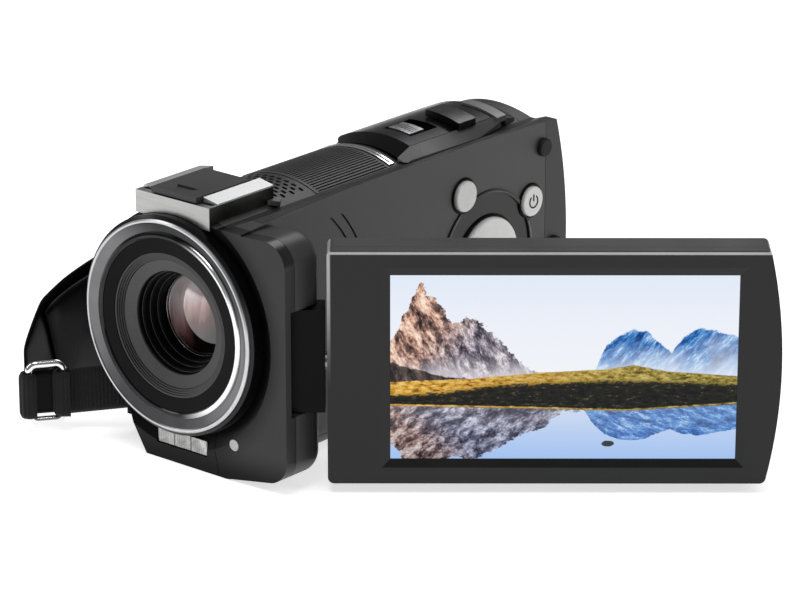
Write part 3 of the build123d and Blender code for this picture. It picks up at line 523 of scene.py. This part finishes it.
def coated_glass(name, radius):
    """Front element: pinkish brown coating, with painted reflection that makes it paler and streaked towards
    the upper edge and the strap side, and painted shade that darkens it towards the lower screen side.
    """
    look = Graph(name)
    side, height = look.across_lens(radius)
    smear = look.noise(110, detail=3, stretch=(1, 1, 0.35), distortion=1.2)
    # Painted reflection and shade: the coating is drawn pale, with blotches from the smear noise and with
    # streaks, towards the top and the strap side, and dark towards the bottom and the screen side.
    painted_reflection_level = height * 0.46 - side * 0.34 + smear * 0.9 + 0.06
    painted_reflection_streak = look.noise(420, detail=3, stretch=(1, 1, 0.12), distortion=0.4)
    tint = look.ramp(painted_reflection_level + (painted_reflection_streak - 0.5) * 0.5, [(0.14, rgb(16, 9, 9)), (0.4, rgb(92, 62, 58)),
                                                   (0.6, rgb(160, 126, 124)), (0.9, rgb(222, 208, 210))])
    look.set("Base Color", tint)
    look.roughness(smear, 0.02, 0.06)
    look.set("Metallic", 0.35)
    look.set("Coat Weight", 1.0)
    look.set("Coat Roughness", 0.02)
    look.set("IOR", 1.7)
    look.bump(smear, 0.02 * MM, 0.1)
    return look.material


def prism_lamp(name):
    """Moulded lamp window in three silvery segments behind clear plastic; the cloudy light and dark on the
    silver is painted reflection.
    """
    look = Graph(name)
    low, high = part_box("lamp_window")
    third = (high.x - low.x) / 3
    place = look.along((1, 0, 0), (low.x, 0, 0))
    seams = (place * (pi / third)).wave().size().rise(0.0, 0.22)
    flutes = (place * (2 * pi / (0.5 * MM))).wave() * 0.5 + 0.5
    cloud = look.noise(420, detail=3, distortion=0.8)
    # Painted reflection: the silver is drawn in cloudy light and dark patches.
    tone = look.mottle(cloud * 0.88 + flutes * 0.12, rgb(112, 112, 110), rgb(206, 206, 202))
    look.set("Base Color", look.mix(seams, rgb(40, 40, 40), tone))
    look.roughness(cloud, 0.16, 0.3)
    look.set("Metallic", 0.5)
    look.set("Coat Weight", 0.8)
    look.set("Coat Roughness", 0.05)
    look.bump(flutes, 0.02 * MM, 0.3)
    return look.material


MEAN_SHORE = 0.285  # share of the picture's height at which the mountains are mirrored


def mountains(look, u, v, aspect, shore, water):
    """Sky, far and near peaks and a dark slope above the shore, and their stretched reflection below it."""
    above = (v - shore).size()
    ripple = look.noise(60, detail=2, at=look.vector(u * 0.5, v * 3, v), roughness=0.6) - 0.5
    across = u + ripple * water * 0.012
    height = above * (water * 0.7 + 1.0) + MEAN_SHORE
    far_height = above * (water * 1.7 + 1.0) + MEAN_SHORE
    spot = look.vector(across * aspect, height, height * 0)

    # crests
    broken = look.noise(15, detail=9, at=spot, roughness=0.68, distortion=0.3) - 0.5
    near_crest = across.profile([(0, 0.62), (0.045, 0.8), (0.085, 0.95), (0.13, 0.86), (0.18, 0.75),
                                 (0.235, 0.78), (0.3, 0.68), (0.37, 0.54), (0.44, 0.46), (0.5, 0.3),
                                 (1, 0.1)])
    far_crest = across.profile([(0, 0.1), (0.56, 0.28), (0.585, 0.48), (0.62, 0.64), (0.66, 0.7), (0.7, 0.73),
                                (0.74, 0.71), (0.78, 0.63), (0.81, 0.59), (0.84, 0.67), (0.89, 0.715),
                                (0.94, 0.69), (1, 0.65)])
    near = (near_crest + broken * 0.17).rise(height - 0.004, height + 0.004)
    far = (far_crest + broken * 0.07).rise(far_height - 0.005, far_height + 0.005)

    # crags, lit from the left
    crag = look.noise(11, detail=14, at=look.vector(across * 2.4 + height * 0.5, height * 0.7, height * 0),
                      roughness=0.8, distortion=0.25)
    cold_crag = look.noise(14, detail=14, at=look.vector(across * 2.2 - height, far_height * 0.6, across * 0),
                           roughness=0.8, distortion=0.2)
    sky = look.ramp(v, [(0.0, rgb(204, 222, 246)), (0.45, rgb(240, 242, 246)), (0.75, rgb(234, 238, 247)),
                        (1.0, rgb(224, 232, 246))])
    warm_rock = look.ramp(crag, [(0.41, rgb(30, 24, 28)), (0.47, rgb(112, 84, 78)),
                                 (0.52, rgb(206, 158, 134)), (0.59, rgb(252, 228, 208))])
    grey_rock = look.ramp(crag, [(0.41, rgb(22, 20, 30)), (0.47, rgb(86, 80, 96)),
                                 (0.53, rgb(160, 152, 162)), (0.6, rgb(240, 234, 238))])
    near_rock = look.mix((0.15 - across * 1.6 + height * 0.55).rise(0.1, 0.4), grey_rock, warm_rock)
    far_rock = look.ramp(cold_crag, [(0.4, rgb(6, 48, 104)), (0.46, rgb(24, 96, 174)),
                                     (0.53, rgb(88, 152, 212)), (0.61, rgb(206, 226, 244))])
    fog_patch = look.noise(5, detail=6, at=spot, roughness=0.55)
    far_fog = ((0.56 - height + fog_patch * 0.24) * 3.6).rise(0.0, 1.0) * (1 - water * 0.85)
    near_fog = ((0.5 - height + fog_patch * 0.26 + across * 0.1) * 4.0).rise(0.25, 1.0) * (1 - water * 0.9)
    picture = look.mix(far, sky, look.mix(far_fog * 0.9, far_rock, rgb(226, 235, 248)))
    picture = look.mix(near, picture, look.mix(near_fog * 0.75, near_rock, rgb(230, 224, 230)))
    slope = across.profile([(0, 0.525), (0.06, 0.5), (0.14, 0.455), (0.26, 0.43), (1, 0.4)])
    dark_slope = look.ramp(crag, [(0.42, rgb(30, 24, 26)), (0.56, rgb(96, 82, 78)),
                                  (0.66, rgb(150, 132, 122))])
    return look.mix((slope + broken * 0.05 - v).rise(-0.004, 0.004) * (1 - water), picture, dark_slope)


def meadow(look, u, v, shore, tuft, picture):
    """Adds a meadow, its dark bank and the bright line of the shore to a picture."""
    meadow_top = u.profile([(0, 0.42), (0.2, 0.435), (0.45, 0.475), (0.62, 0.49), (0.7, 0.515), (0.8, 0.48),
                            (1, 0.455)]) + tuft * 0.02
    meadow_low = u.profile([(0, 0.345), (0.15, 0.36), (0.3, 0.4), (0.6, 0.425), (0.8, 0.42), (1, 0.405)])
    meadow_low += tuft * 0.1
    bank_low = shore + 0.01 + tuft * 0.008
    gold = look.ramp(tuft + 0.5, [(0.36, rgb(104, 72, 20)), (0.48, rgb(206, 152, 46)),
                                  (0.64, rgb(244, 208, 122))])
    green = look.ramp(tuft + 0.5, [(0.36, rgb(52, 50, 22)), (0.48, rgb(138, 122, 46)),
                                   (0.64, rgb(206, 186, 110))])
    grass = look.mix((u + tuft).rise(0.1, 0.8), gold, green)
    soil = look.ramp(tuft + 0.5, [(0.4, rgb(8, 8, 8)), (0.6, rgb(34, 34, 27)), (0.74, rgb(140, 128, 96))])
    picture = look.mix((meadow_top - v).rise(-0.003, 0.003) * (v - shore).rise(0.0, 0.004), picture, grass)
    below_meadow = (meadow_low - v).rise(-0.008, 0.008) * (v - bank_low).rise(-0.003, 0.003)
    return look.mix(below_meadow, picture, soil)


def landscape(name):
    """Lit picture of a mountain lake, laid out and drawn over the pane in shares of its two sides."""
    look = Graph(name)
    (left, right), (bottom, top), _ = local_limits("screen_glass", HINGE, PANEL_AXES)
    aspect = (right - left) / (top - bottom)
    u = look.along(ALONG, HINGE + ALONG * left) * (1 / (right - left))
    v = look.along(UP, HINGE + UP * bottom) * (1 / (top - bottom))
    shore = u.profile([(0, 0.29), (0.4, 0.275), (0.68, 0.262), (1, 0.3)])
    water = 1 - v.rise(shore - 0.001, shore + 0.001)
    picture = mountains(look, u, v, aspect, shore, water)

    # water: a darker, cooler mirror
    depth = look.ramp(v * 2.4 + 0.1, [(0.0, rgb(190, 214, 246)), (0.8, rgb(228, 236, 248))])
    picture = look.mix(water, picture, look.mix(0.9, picture, depth, blend="MULTIPLY"))

    tuft = look.noise(26, detail=6, at=look.vector(u * aspect, v * 2.4, v), roughness=0.7) - 0.5
    picture = meadow(look, u, v, shore, tuft, picture)

    # a stone that stands in the water: centre and half size as shares of the picture
    stone_u, stone_v, half_wide, half_tall = 0.63, 0.083, 0.019, 0.017
    stone_side, stone_up = (u - stone_u) * (1 / half_wide), (v - stone_v) * (1 / half_tall)
    stone = 1 - (stone_side * stone_side + stone_up * stone_up + tuft).rise(0.85, 1.0)
    picture = look.mix(stone, picture, rgb(52, 60, 62))

    look.set("Base Color", look.ramp(u, [(0.0, rgb(3, 3, 3)), (1.0, rgb(6, 6, 6))]))
    look.set("Emission Color", picture)
    look.set("Emission Strength", 1.0)
    look.set("Roughness", 0.12)
    look.set("Specular IOR Level", 0.12)
    return look.material


# ---------------------------------------------------------------- materials for the CAD nodes
SHELL = plastic("charcoal_shell", rgb(26, 26, 27), rgb(38, 38, 39), (0.38, 0.5), gloss=0.4)
COVER = plastic("shoe_cover_grey", rgb(46, 46, 47), rgb(58, 58, 59), (0.42, 0.54), gloss=0.4)
BED = plastic("satin_bed", rgb(48, 48, 49), rgb(58, 58, 59), (0.36, 0.48), gloss=0.4)
GLOSS = plastic("gloss_black", rgb(2, 2, 2), rgb(5, 5, 5), (0.1, 0.18), relief=0.002, gloss=0.07)
DARK = plastic("deep_black", rgb(2, 2, 2), rgb(6, 6, 6), (0.4, 0.5), gloss=0.1)
RIM = plastic("dark_rim", rgb(8, 8, 8), rgb(14, 14, 14), (0.16, 0.24), relief=0.003, gloss=0.3)
STEP_RING = plastic("ribbed_ring_grey", rgb(40, 40, 40), rgb(52, 52, 52), (0.3, 0.4), gloss=0.35)
# Pale plastic for thin rings that stand in as painted highlights on the well's steps.
WELL_STEP_HIGHLIGHT = plastic("painted_well_highlight", rgb(60, 60, 61), rgb(86, 86, 87), (0.2, 0.3), gloss=0.5)
RIB = plastic("ribbed_insert", rgb(44, 44, 45), rgb(60, 60, 61), (0.4, 0.52), gloss=0.4)
SILVER = plastic("silver_paint", rgb(208, 208, 206), rgb(232, 232, 230), (0.2, 0.3), grain=5200, coat=0.4)
RUBBER = plastic("dark_rubber", rgb(20, 20, 20), rgb(30, 30, 30), (0.6, 0.75), grain=3000, gloss=0.3)
BOARD = plastic("green_board", rgb(10, 52, 30), rgb(20, 78, 46), (0.35, 0.5), grain=900, relief=0.04)
WRAP = plastic("cell_wrap", rgb(28, 34, 52), rgb(38, 46, 68), (0.3, 0.42), grain=1200)
CHROME = metal("bright_trim", rgb(226, 226, 227), rgb(240, 240, 241), (0.08, 0.14), relief=0.002)
SMOKED = metal("smoked_trim", rgb(62, 62, 63), rgb(82, 82, 83), (0.16, 0.24), relief=0.002)
RAIL = metal("rail_trim", rgb(206, 206, 207), rgb(222, 222, 223), (0.4, 0.46), relief=0.002)
STEEL = metal("plain_steel", rgb(148, 148, 150), rgb(188, 188, 190), (0.24, 0.4), stretch=(1, 1, 0.1))
LEATHER = leather("coated_wrap")
WOVEN = woven("woven_band")
PALE = plastic("pale_insert", rgb(92, 92, 92), rgb(112, 112, 112), (0.3, 0.4), grain=4000, coat=0.2)
LAMP_GREY = plastic("lamp_grey", rgb(158, 158, 158), rgb(186, 186, 186), (0.2, 0.3), coat=0.8)

FINISHES = [
    (SHELL, ["base_cover", "grip_shell", "rear_cover", "top_cover", "card_door", "battery_door",
             "microphone_grille"]),
    (COVER, ["shoe_cover"]),
    (BED, ["screen_side_shell"]),
    (front_paint("satin_front"), ["front_fascia", "chin_bezel"]),
    (RIM, ["lens_barrel", "control_ring"]),
    (deck_paint("gloss_deck"), ["top_deck"]),
    (GLOSS, ["face_ring", "lens_tube", "status_lamp", "zoom_carriage", "strap_anchor_front",
             "strap_anchor_rear"]),
    (DARK, ["hinge_block"]),
    (STEP_RING, ["ribbed_ring"]),
    (lens_well("stepped_well"), ["front_baffle"]),
    (RIB, ["ribbed_panel"]),
    (screen_surround("dark_surround"), ["screen_bezel", "screen_back_shell"]),
    (SILVER, ["silver_button", "power_button", "menu_button", "playback_button", "navigation_pad",
              "pad_centre_button", "record_button"]),
    (RUBBER, ["screen_buffers", "speaker"]),
    (BOARD, ["main_board", "sensor_board", "display_panel"]),
    (WRAP, ["battery"]),
    (shoe_metal("satin_block"), ["shoe_block"]),
    (CHROME, ["arc_trim", "strap_ring"]),
    (RAIL, ["shoe_rails"]),
    (SMOKED, ["zoom_lever"]),
    (STEEL, ["mode_switch", "base_screws", "tripod_socket", "hinge_pin", "roll_shaft", "shoe_spring"]),
    (PALE, ["photo_button"]),
    (LAMP_GREY, ["indicator_window"]),
    (ring_metal("lens_ring_metal"), ["outer_ring"]),
    (prism_lamp("lamp_segments"), ["lamp_window"]),
    (landscape("lit_landscape"), ["screen_glass"]),
]
for finish, names in FINISHES:
    for name in names:
        nodes[name].data.materials.clear()
        nodes[name].data.materials.append(finish)


# ---------------------------------------------------------------- mesh helpers
LENS_STEPS, SMALL_LENS_STEPS = 128, 72
BEAD_SIDES = 10


def add_piece(name, mesh, finish, body):
    """Smooth object made from a mesh, which rides on a body."""
    mesh.materials.clear()
    mesh.materials.append(finish)
    for polygon in mesh.polygons:
        polygon.use_smooth = True
    piece = bpy.data.objects.new(name, mesh)
    bpy.context.scene.collection.objects.link(piece)
    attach(piece, body)
    return piece


def new_piece(name, points, faces, finish, body):
    mesh = bpy.data.meshes.new(name)
    mesh.from_pydata([tuple(point) for point in points], [], faces)
    mesh.validate()
    return add_piece(name, mesh, finish, body)


def grid_faces(columns, rows, first, flip):
    """Quads over a grid of points that is numbered up each column, from the first point's number."""
    faces = []
    for i in range(columns):
        for j in range(rows):
            a = first + i * (rows + 1) + j
            quad = (a, a + rows + 1, a + rows + 2, a + 1)
            faces.append(quad[::-1] if flip else quad)
    return faces


def clean(piece, weld=None):
    """Turns all faces outwards, after welding doubled points that lie closer than weld."""
    form = bmesh.new()
    form.from_mesh(piece.data)
    if weld:
        bmesh.ops.remove_doubles(form, verts=form.verts, dist=weld)
        bmesh.ops.dissolve_degenerate(form, edges=form.edges, dist=weld)
    bmesh.ops.recalc_face_normals(form, faces=form.faces)
    form.to_mesh(piece.data)
    form.free()


def lathe(name, profile, finish, body, steps=LENS_STEPS):
    """Closed ring or dome about the lens axis from (radius, y) points in millimetres."""
    points, faces = [], []
    count = len(profile)
    for step in range(steps):
        angle = 2 * pi * step / steps
        for radius, y in profile:
            points.append((LENS_X + radius * MM * cos(angle), y * MM, LENS_Z + radius * MM * sin(angle)))
    for step in range(steps):
        this, after = step * count, (step + 1) % steps * count
        for k in range(count):
            ahead = (k + 1) % count
            faces.append((this + k, after + k, after + ahead, this + ahead))
    piece = new_piece(name, points, faces, finish, body)
    clean(piece, weld=0.001 * MM)
    return piece


def bead(radius, y, thickness):
    """Round wire profile for lathe."""
    angles = [2 * pi * k / BEAD_SIDES for k in range(BEAD_SIDES)]
    return [(radius + thickness * cos(angle), y + thickness * sin(angle)) for angle in angles]


def tube(name, path, radius, finish, body, closed=False):
    """Round wire along points."""
    data = bpy.data.curves.new(name, "CURVE")
    data.dimensions = "3D"
    data.bevel_depth = radius
    data.bevel_resolution = 2
    data.use_fill_caps = not closed
    spline = data.splines.new("POLY")
    spline.points.add(len(path) - 1)
    for place, point in zip(path, spline.points):
        point.co = (*place, 1)
    spline.use_cyclic_u = closed
    holder = bpy.data.objects.new(name + "_line", data)
    bpy.context.scene.collection.objects.link(holder)
    bpy.context.view_layer.update()
    mesh = bpy.data.meshes.new_from_object(holder.evaluated_get(bpy.context.evaluated_depsgraph_get()))
    bpy.data.objects.remove(holder)
    mesh.name = name
    return add_piece(name, mesh, finish, body)


# ---------------------------------------------------------------- lens details, in millimetres
CROWN_DEPTH, INNER_CROWN_DEPTH = 1.6, 0.9
RETAINER_OUT, RETAINER_FORWARD, RETAINER_WIRE = 0.15, 0.25, 0.16
STEP_RADIUS, STEP_Y = 10.55, -48.62
STEP_INWARD, STEP_BACK, STEP_WIRE = 0.6, 1.6, 0.05


def domed_glass(name, cad_node, finish_name, body, crown, rings, steps):
    """Glass with a domed front and a flat back, the size of a CAD element."""
    low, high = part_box(cad_node)
    radius = (high.x - low.x) / 2 / MM
    front_y, back_y = low.y / MM, high.y / MM
    dome = [(radius * k / rings, front_y + crown * (k / rings) ** 2) for k in range(rings + 1)]
    coating = coated_glass(finish_name, radius * MM)
    return lathe(name, [*dome, (radius, back_y), (0, back_y)], coating, body, steps)


def add_lens_details():
    """Both visible elements, the retaining ring of the front one, and painted highlights: pale lines on the
    well's steps.
    """
    front_glass = domed_glass("coated_front_element", "front_lens", "pink_coating", "root", CROWN_DEPTH,
                              rings=24, steps=LENS_STEPS)
    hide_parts("front_lens")
    inner_glass = domed_glass("moving_element", "zoom_lens", "inner_coating", "zoom_group", INNER_CROWN_DEPTH,
                              rings=16, steps=SMALL_LENS_STEPS)
    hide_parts("zoom_lens")
    low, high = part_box("front_lens")
    retainer = bead((high.x - low.x) / 2 / MM + RETAINER_OUT, low.y / MM + CROWN_DEPTH - RETAINER_FORWARD,
                    RETAINER_WIRE)
    lathe("glass_retaining_ring", retainer, STEEL, "root")
    # Painted highlights: a thin pale ring on each step of the well.
    for step in range(3):
        line = bead(STEP_RADIUS - STEP_INWARD * step, STEP_Y + STEP_BACK * step, STEP_WIRE)
        lathe(f"well_step_highlight_{step + 1}", line, WELL_STEP_HIGHLIGHT, "root")


# ---------------------------------------------------------------- marks and trims of the controls
SIGN_RADIUS = 1.35 * MM
SIGN_WIRE = 0.16 * MM
SIGN_BAR = (0.1 * MM, 1.6 * MM)
SIGN_GAP = 38
SURROUND_WIRE = 0.34 * MM
RIM_WIRE = 0.2 * MM
BUTTON_FLANGE = 0.8 * MM
BUTTON_CLEAR = 4.2 * MM


def add_marks():
    """Generic power sign on its button."""
    low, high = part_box("power_button")
    y, z = (low.y + high.y) / 2, (low.z + high.z) / 2
    x = high.x + 0.02 * MM
    turns = [radians(SIGN_GAP + 2 * (180 - SIGN_GAP) * k / 28) for k in range(29)]
    arc = [(x, y + SIGN_RADIUS * sin(turn), z + SIGN_RADIUS * cos(turn)) for turn in turns]
    tube("power_sign_arc", arc, SIGN_WIRE, GLOSS, "power_button")
    bar = [(x, y, z + height) for height in SIGN_BAR]
    tube("power_sign_bar", bar, SIGN_WIRE, GLOSS, "power_button")


def bed_place(centre, radius, angle, lift):
    """Place on a circle over the flat side, about a (y, z) centre."""
    bed_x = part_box("card_door")[1].x
    return Vector((bed_x + lift, centre[0] + radius * cos(angle), centre[1] + radius * sin(angle)))


def control_circle(node):
    """Centre, as (y, z), and radius of a round control on the flat side."""
    low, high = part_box(node)
    return ((low.y + high.y) / 2, (low.z + high.z) / 2), (high.y - low.y) / 2


def add_button_rings():
    """Dark surrounds of the buttons, and the raised rim of the control field between them."""
    turns = [2 * pi * k / 96 for k in range(96)]
    centres = {}
    for node in ("silver_button", "power_button", "menu_button", "playback_button", "navigation_pad"):
        centres[node], radius = control_circle(node)
        radius = radius - BUTTON_FLANGE + 0.3 * MM
        path = [bed_place(centres[node], radius, turn, 0.02 * MM) for turn in turns]
        tube(f"{node}_surround", path, SURROUND_WIRE, DARK, "root", closed=True)

    # Two turns round the ring, so that every arc between two buttons comes up whole.
    centre, radius = control_circle("control_ring")
    buttons = [place for node, place in centres.items() if node != "navigation_pad"]
    per_turn = 240
    runs = [[]]
    for step in range(2 * per_turn + 1):
        place = bed_place(centre, radius - 0.4 * MM, 2 * pi * step / per_turn, 0.22 * MM)
        if all(sqrt((place.y - y) ** 2 + (place.z - z) ** 2) > BUTTON_CLEAR for y, z in buttons):
            runs[-1].append(place)
        elif runs[-1]:
            runs.append([])
    for number, run in enumerate(runs[1:len(buttons) + 1]):
        tube(f"control_rim_{number + 1}", run, RIM_WIRE, PALE, "root")


# ---------------------------------------------------------------- hand strap, plan places in millimetres
WRAP_FRONT, WRAP_MIDDLE, WRAP_REAR = Vector((-37.0, -57.4)), Vector((-46.6, -8.0)), Vector((-29.6, 44.0))
# share of the wrap's length, then the heights of its lower and upper edge
WRAP_EDGES = [(0.0, 4.0, 17.0), (0.04, 3.2, 20.5), (0.1, 2.2, 25.2), (0.2, 1.2, 26.8), (0.4, 1.0, 29.0),
              (0.62, 1.0, 30.5), (0.82, 4.0, 28.0), (1.0, 11.0, 23.0)]
BAND_FRONT, BAND_AT_RING = Vector((-20.7, -42.4)), Vector((-29.6, -50.9))
BAND_REAR = [Vector((-24.3, 39.3)), Vector((-27.3, 40.6))]
WRAP_BAR, BAND_BAR = Vector((-34.4, -58.0)), Vector((-30.2, -52.4))
TONGUE = [Vector((-35.2, -57.1)), Vector((-31.0, -51.5))]
BAND_THICK = 1.6
TURN_RADIUS, TURN_THICK = 1.6, 1.2
PAD_TRAVEL = 1.1 * MM


def strap_point(share, inward):
    """Place on the strap's curve in plan, moved towards the body by inward millimetres."""
    near = (1 - share) * (1 - 2 * share)
    middle = 4 * share * (1 - share)
    far = share * (2 * share - 1)
    place = WRAP_FRONT * near + WRAP_MIDDLE * middle + WRAP_REAR * far
    slope = WRAP_FRONT * (4 * share - 3) + WRAP_MIDDLE * (4 - 8 * share) + WRAP_REAR * (4 * share - 1)
    slope = slope.normalized()
    return place + Vector((slope.y, -slope.x)) * inward


def strap_edge(share, side):
    """Height of the lower (side 1) or upper (side 2) edge of the wrap, straight between its corners."""
    for before, after in zip(WRAP_EDGES, WRAP_EDGES[1:]):
        if share <= after[0]:
            part = (share - before[0]) / (after[0] - before[0])
            return before[side] + (after[side] - before[side]) * part
    return WRAP_EDGES[-1][side]


def cushion(name, start, lean, end, outer, inner, margin, columns, rows):
    """Closed pad between two depths, thinner towards its rim; its front end leans forward at the top."""
    points = []
    middle = (outer + inner) / 2
    for surface in (outer, inner):
        for i in range(columns + 1):
            for j in range(rows + 1):
                t = j / rows
                begin = start - lean * t
                share = begin + (end - begin) * i / columns
                low, high = strap_edge(share, 1) + margin, strap_edge(share, 2) - margin
                rim = min(1.0, 2.6 * min(t, 1 - t), 9.0 * min(i, columns - i) / columns)
                fullness = sqrt(max(0.0, 1 - (1 - rim) ** 2))
                place = strap_point(share, middle + (surface - middle) * fullness)
                points.append((place.x * MM, place.y * MM, (low + (high - low) * t) * MM))
    faces = grid_faces(columns, rows, 0, flip=False) + grid_faces(columns, rows, len(points) // 2, flip=True)
    piece = new_piece(name, points, faces, LEATHER, "root")
    clean(piece, weld=0.01 * MM)
    return piece


def inflate(piece, pressure, cap):
    """Short cloth simulation under pressure, with each point's travel capped, applied to the mesh."""
    rest = [vertex.co.copy() for vertex in piece.data.vertices]
    cloth = piece.modifiers.new("cloth", "CLOTH")
    settings = cloth.settings
    settings.quality = 6
    settings.mass = 0.2
    settings.tension_stiffness = 12
    settings.compression_stiffness = 12
    settings.bending_stiffness = 1.5
    settings.use_pressure = True
    settings.uniform_pressure_force = pressure
    settings.effector_weights.gravity = 0
    cloth.collision_settings.use_self_collision = False
    frames = 20
    cloth.point_cache.frame_start, cloth.point_cache.frame_end = 1, frames
    for number in range(1, frames + 1):
        bpy.context.scene.frame_set(number)
    evaluated = piece.evaluated_get(bpy.context.evaluated_depsgraph_get())
    moved = [vertex.co.copy() for vertex in evaluated.data.vertices]
    piece.modifiers.remove(cloth)
    bpy.context.scene.frame_set(1)
    for vertex, before, after in zip(piece.data.vertices, rest, moved):
        travel = after - before
        if travel.length > cap:
            travel = travel * (cap / travel.length)
        vertex.co = before + travel
    piece.data.update()


def smooth_out(piece, levels):
    """Subdivides the mesh for good."""
    layer = piece.modifiers.new("round", "SUBSURF")
    layer.levels = layer.render_levels = levels
    bpy.context.view_layer.update()
    mesh = bpy.data.meshes.new_from_object(piece.evaluated_get(bpy.context.evaluated_depsgraph_get()))
    piece.modifiers.remove(layer)
    piece.data = mesh
    for polygon in mesh.polygons:
        polygon.use_smooth = True


def ribbon(name, path, low, high, thickness, pitch, depth, climb=0.0, cad_node=None, finish=WOVEN):
    """Flat band that stands on edge along a plan path, all in millimetres: its ribs lie pitch apart and depth
    deep, and it climbs by climb from its start to its end."""
    dense, run, travelled = [], 0.0, []
    for a, b in zip(path, path[1:]):
        count = max(1, int((b - a).length / (pitch / 8)))
        for k in range(count):
            dense.append(a + (b - a) * k / count)
    dense.append(path[-1])
    for k, place in enumerate(dense):
        run += (place - dense[k - 1]).length if k else 0.0
        travelled.append(run)
    rows = 14
    points = []
    for face in (1, -1):
        for k, place in enumerate(dense):
            ahead = dense[min(k + 1, len(dense) - 1)] - dense[max(k - 1, 0)]
            across = Vector((ahead.y, -ahead.x)).normalized()
            rib = depth * (0.5 + 0.5 * cos(2 * pi * travelled[k] / pitch))
            for j in range(rows + 1):
                t = j / rows
                rim = sqrt(max(0.0, 1 - abs(2 * t - 1) ** 10))
                offset = face * (thickness / 2 - depth + rib) * (0.35 + 0.65 * rim)
                spot = place + across * offset
                height = low + (high - low) * t + climb * travelled[k] / travelled[-1]
                points.append((spot.x * MM, spot.y * MM, height * MM))
    columns, total = len(dense) - 1, len(dense) * (rows + 1)
    faces = grid_faces(columns, rows, 0, flip=True) + grid_faces(columns, rows, total, flip=False)
    for k in range(columns):
        for j in (0, rows):
            a = k * (rows + 1) + j
            b = a + rows + 1
            faces.append((a, b, b + total, a + total))
    for k in (0, columns):
        for j in range(rows):
            a = k * (rows + 1) + j
            faces.append((a, a + 1, a + 1 + total, a + total))
    piece = new_piece(name, points, faces, finish, "root")
    clean(piece)
    if cad_node:
        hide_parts(cad_node)
    return piece


def band_turn(name, bar, ahead, low, high, legs):
    """Band that turns round an upright bar, with a leg on each side."""
    left = Vector((ahead.y, -ahead.x))
    turns = [pi * k / 12 for k in range(13)]
    turn = [bar + (left * -cos(angle) + ahead * sin(angle)) * TURN_RADIUS for angle in turns]
    path = [turn[0] - ahead * legs[0], *turn, turn[-1] - ahead * legs[1]]
    ribbon(name, path, low, high, TURN_THICK, pitch=0.8, depth=0.16)


def add_strap():
    """Filled padding under a closed wrap, the two webbing bands, and their folds round the ring."""
    pad = cushion("strap_padding", start=0.15, lean=0.07, end=0.985, outer=1.5, inner=4.2, margin=1.4,
                  columns=60, rows=22)
    inflate(pad, pressure=3.0, cap=PAD_TRAVEL)
    smooth_out(pad, 1)
    wrap = cushion("strap_outer_wrap", start=0.0, lean=0.0, end=1.0, outer=-0.6, inner=1.3, margin=0.0,
                   columns=64, rows=24)
    smooth_out(wrap, 1)
    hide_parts("strap_pad")

    front_low, front_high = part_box("strap_webbing_front")
    ribbon("front_band", [BAND_FRONT, BAND_AT_RING], front_low.z / MM + 1.0, front_high.z / MM + 1.0,
           BAND_THICK, pitch=0.8, depth=0.2, climb=-1.0, cad_node="strap_webbing_front")
    rear_low, rear_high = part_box("strap_webbing_rear")
    ribbon("rear_band", BAND_REAR, rear_low.z / MM, rear_high.z / MM, BAND_THICK, pitch=1.25, depth=0.28,
           cad_node="strap_webbing_rear")

    low, high = front_low.z / MM + 0.1, front_high.z / MM - 0.1
    wrap_ahead = Vector((-0.32, -0.95)).normalized()
    band_ahead = (BAND_AT_RING - BAND_FRONT).normalized()
    band_turn("ring_fold", WRAP_BAR, wrap_ahead, low, high, (0.6, 5.2))
    band_turn("band_turn", BAND_BAR, band_ahead, low, high, (1.5, 1.5))
    ribbon("ring_tongue", TONGUE, low + 0.1, high - 0.1, 1.0, pitch=6.0, depth=0.05, finish=LEATHER)


add_camera()
add_studio()
add_lens_details()
add_marks()
add_button_rings()
add_strap()
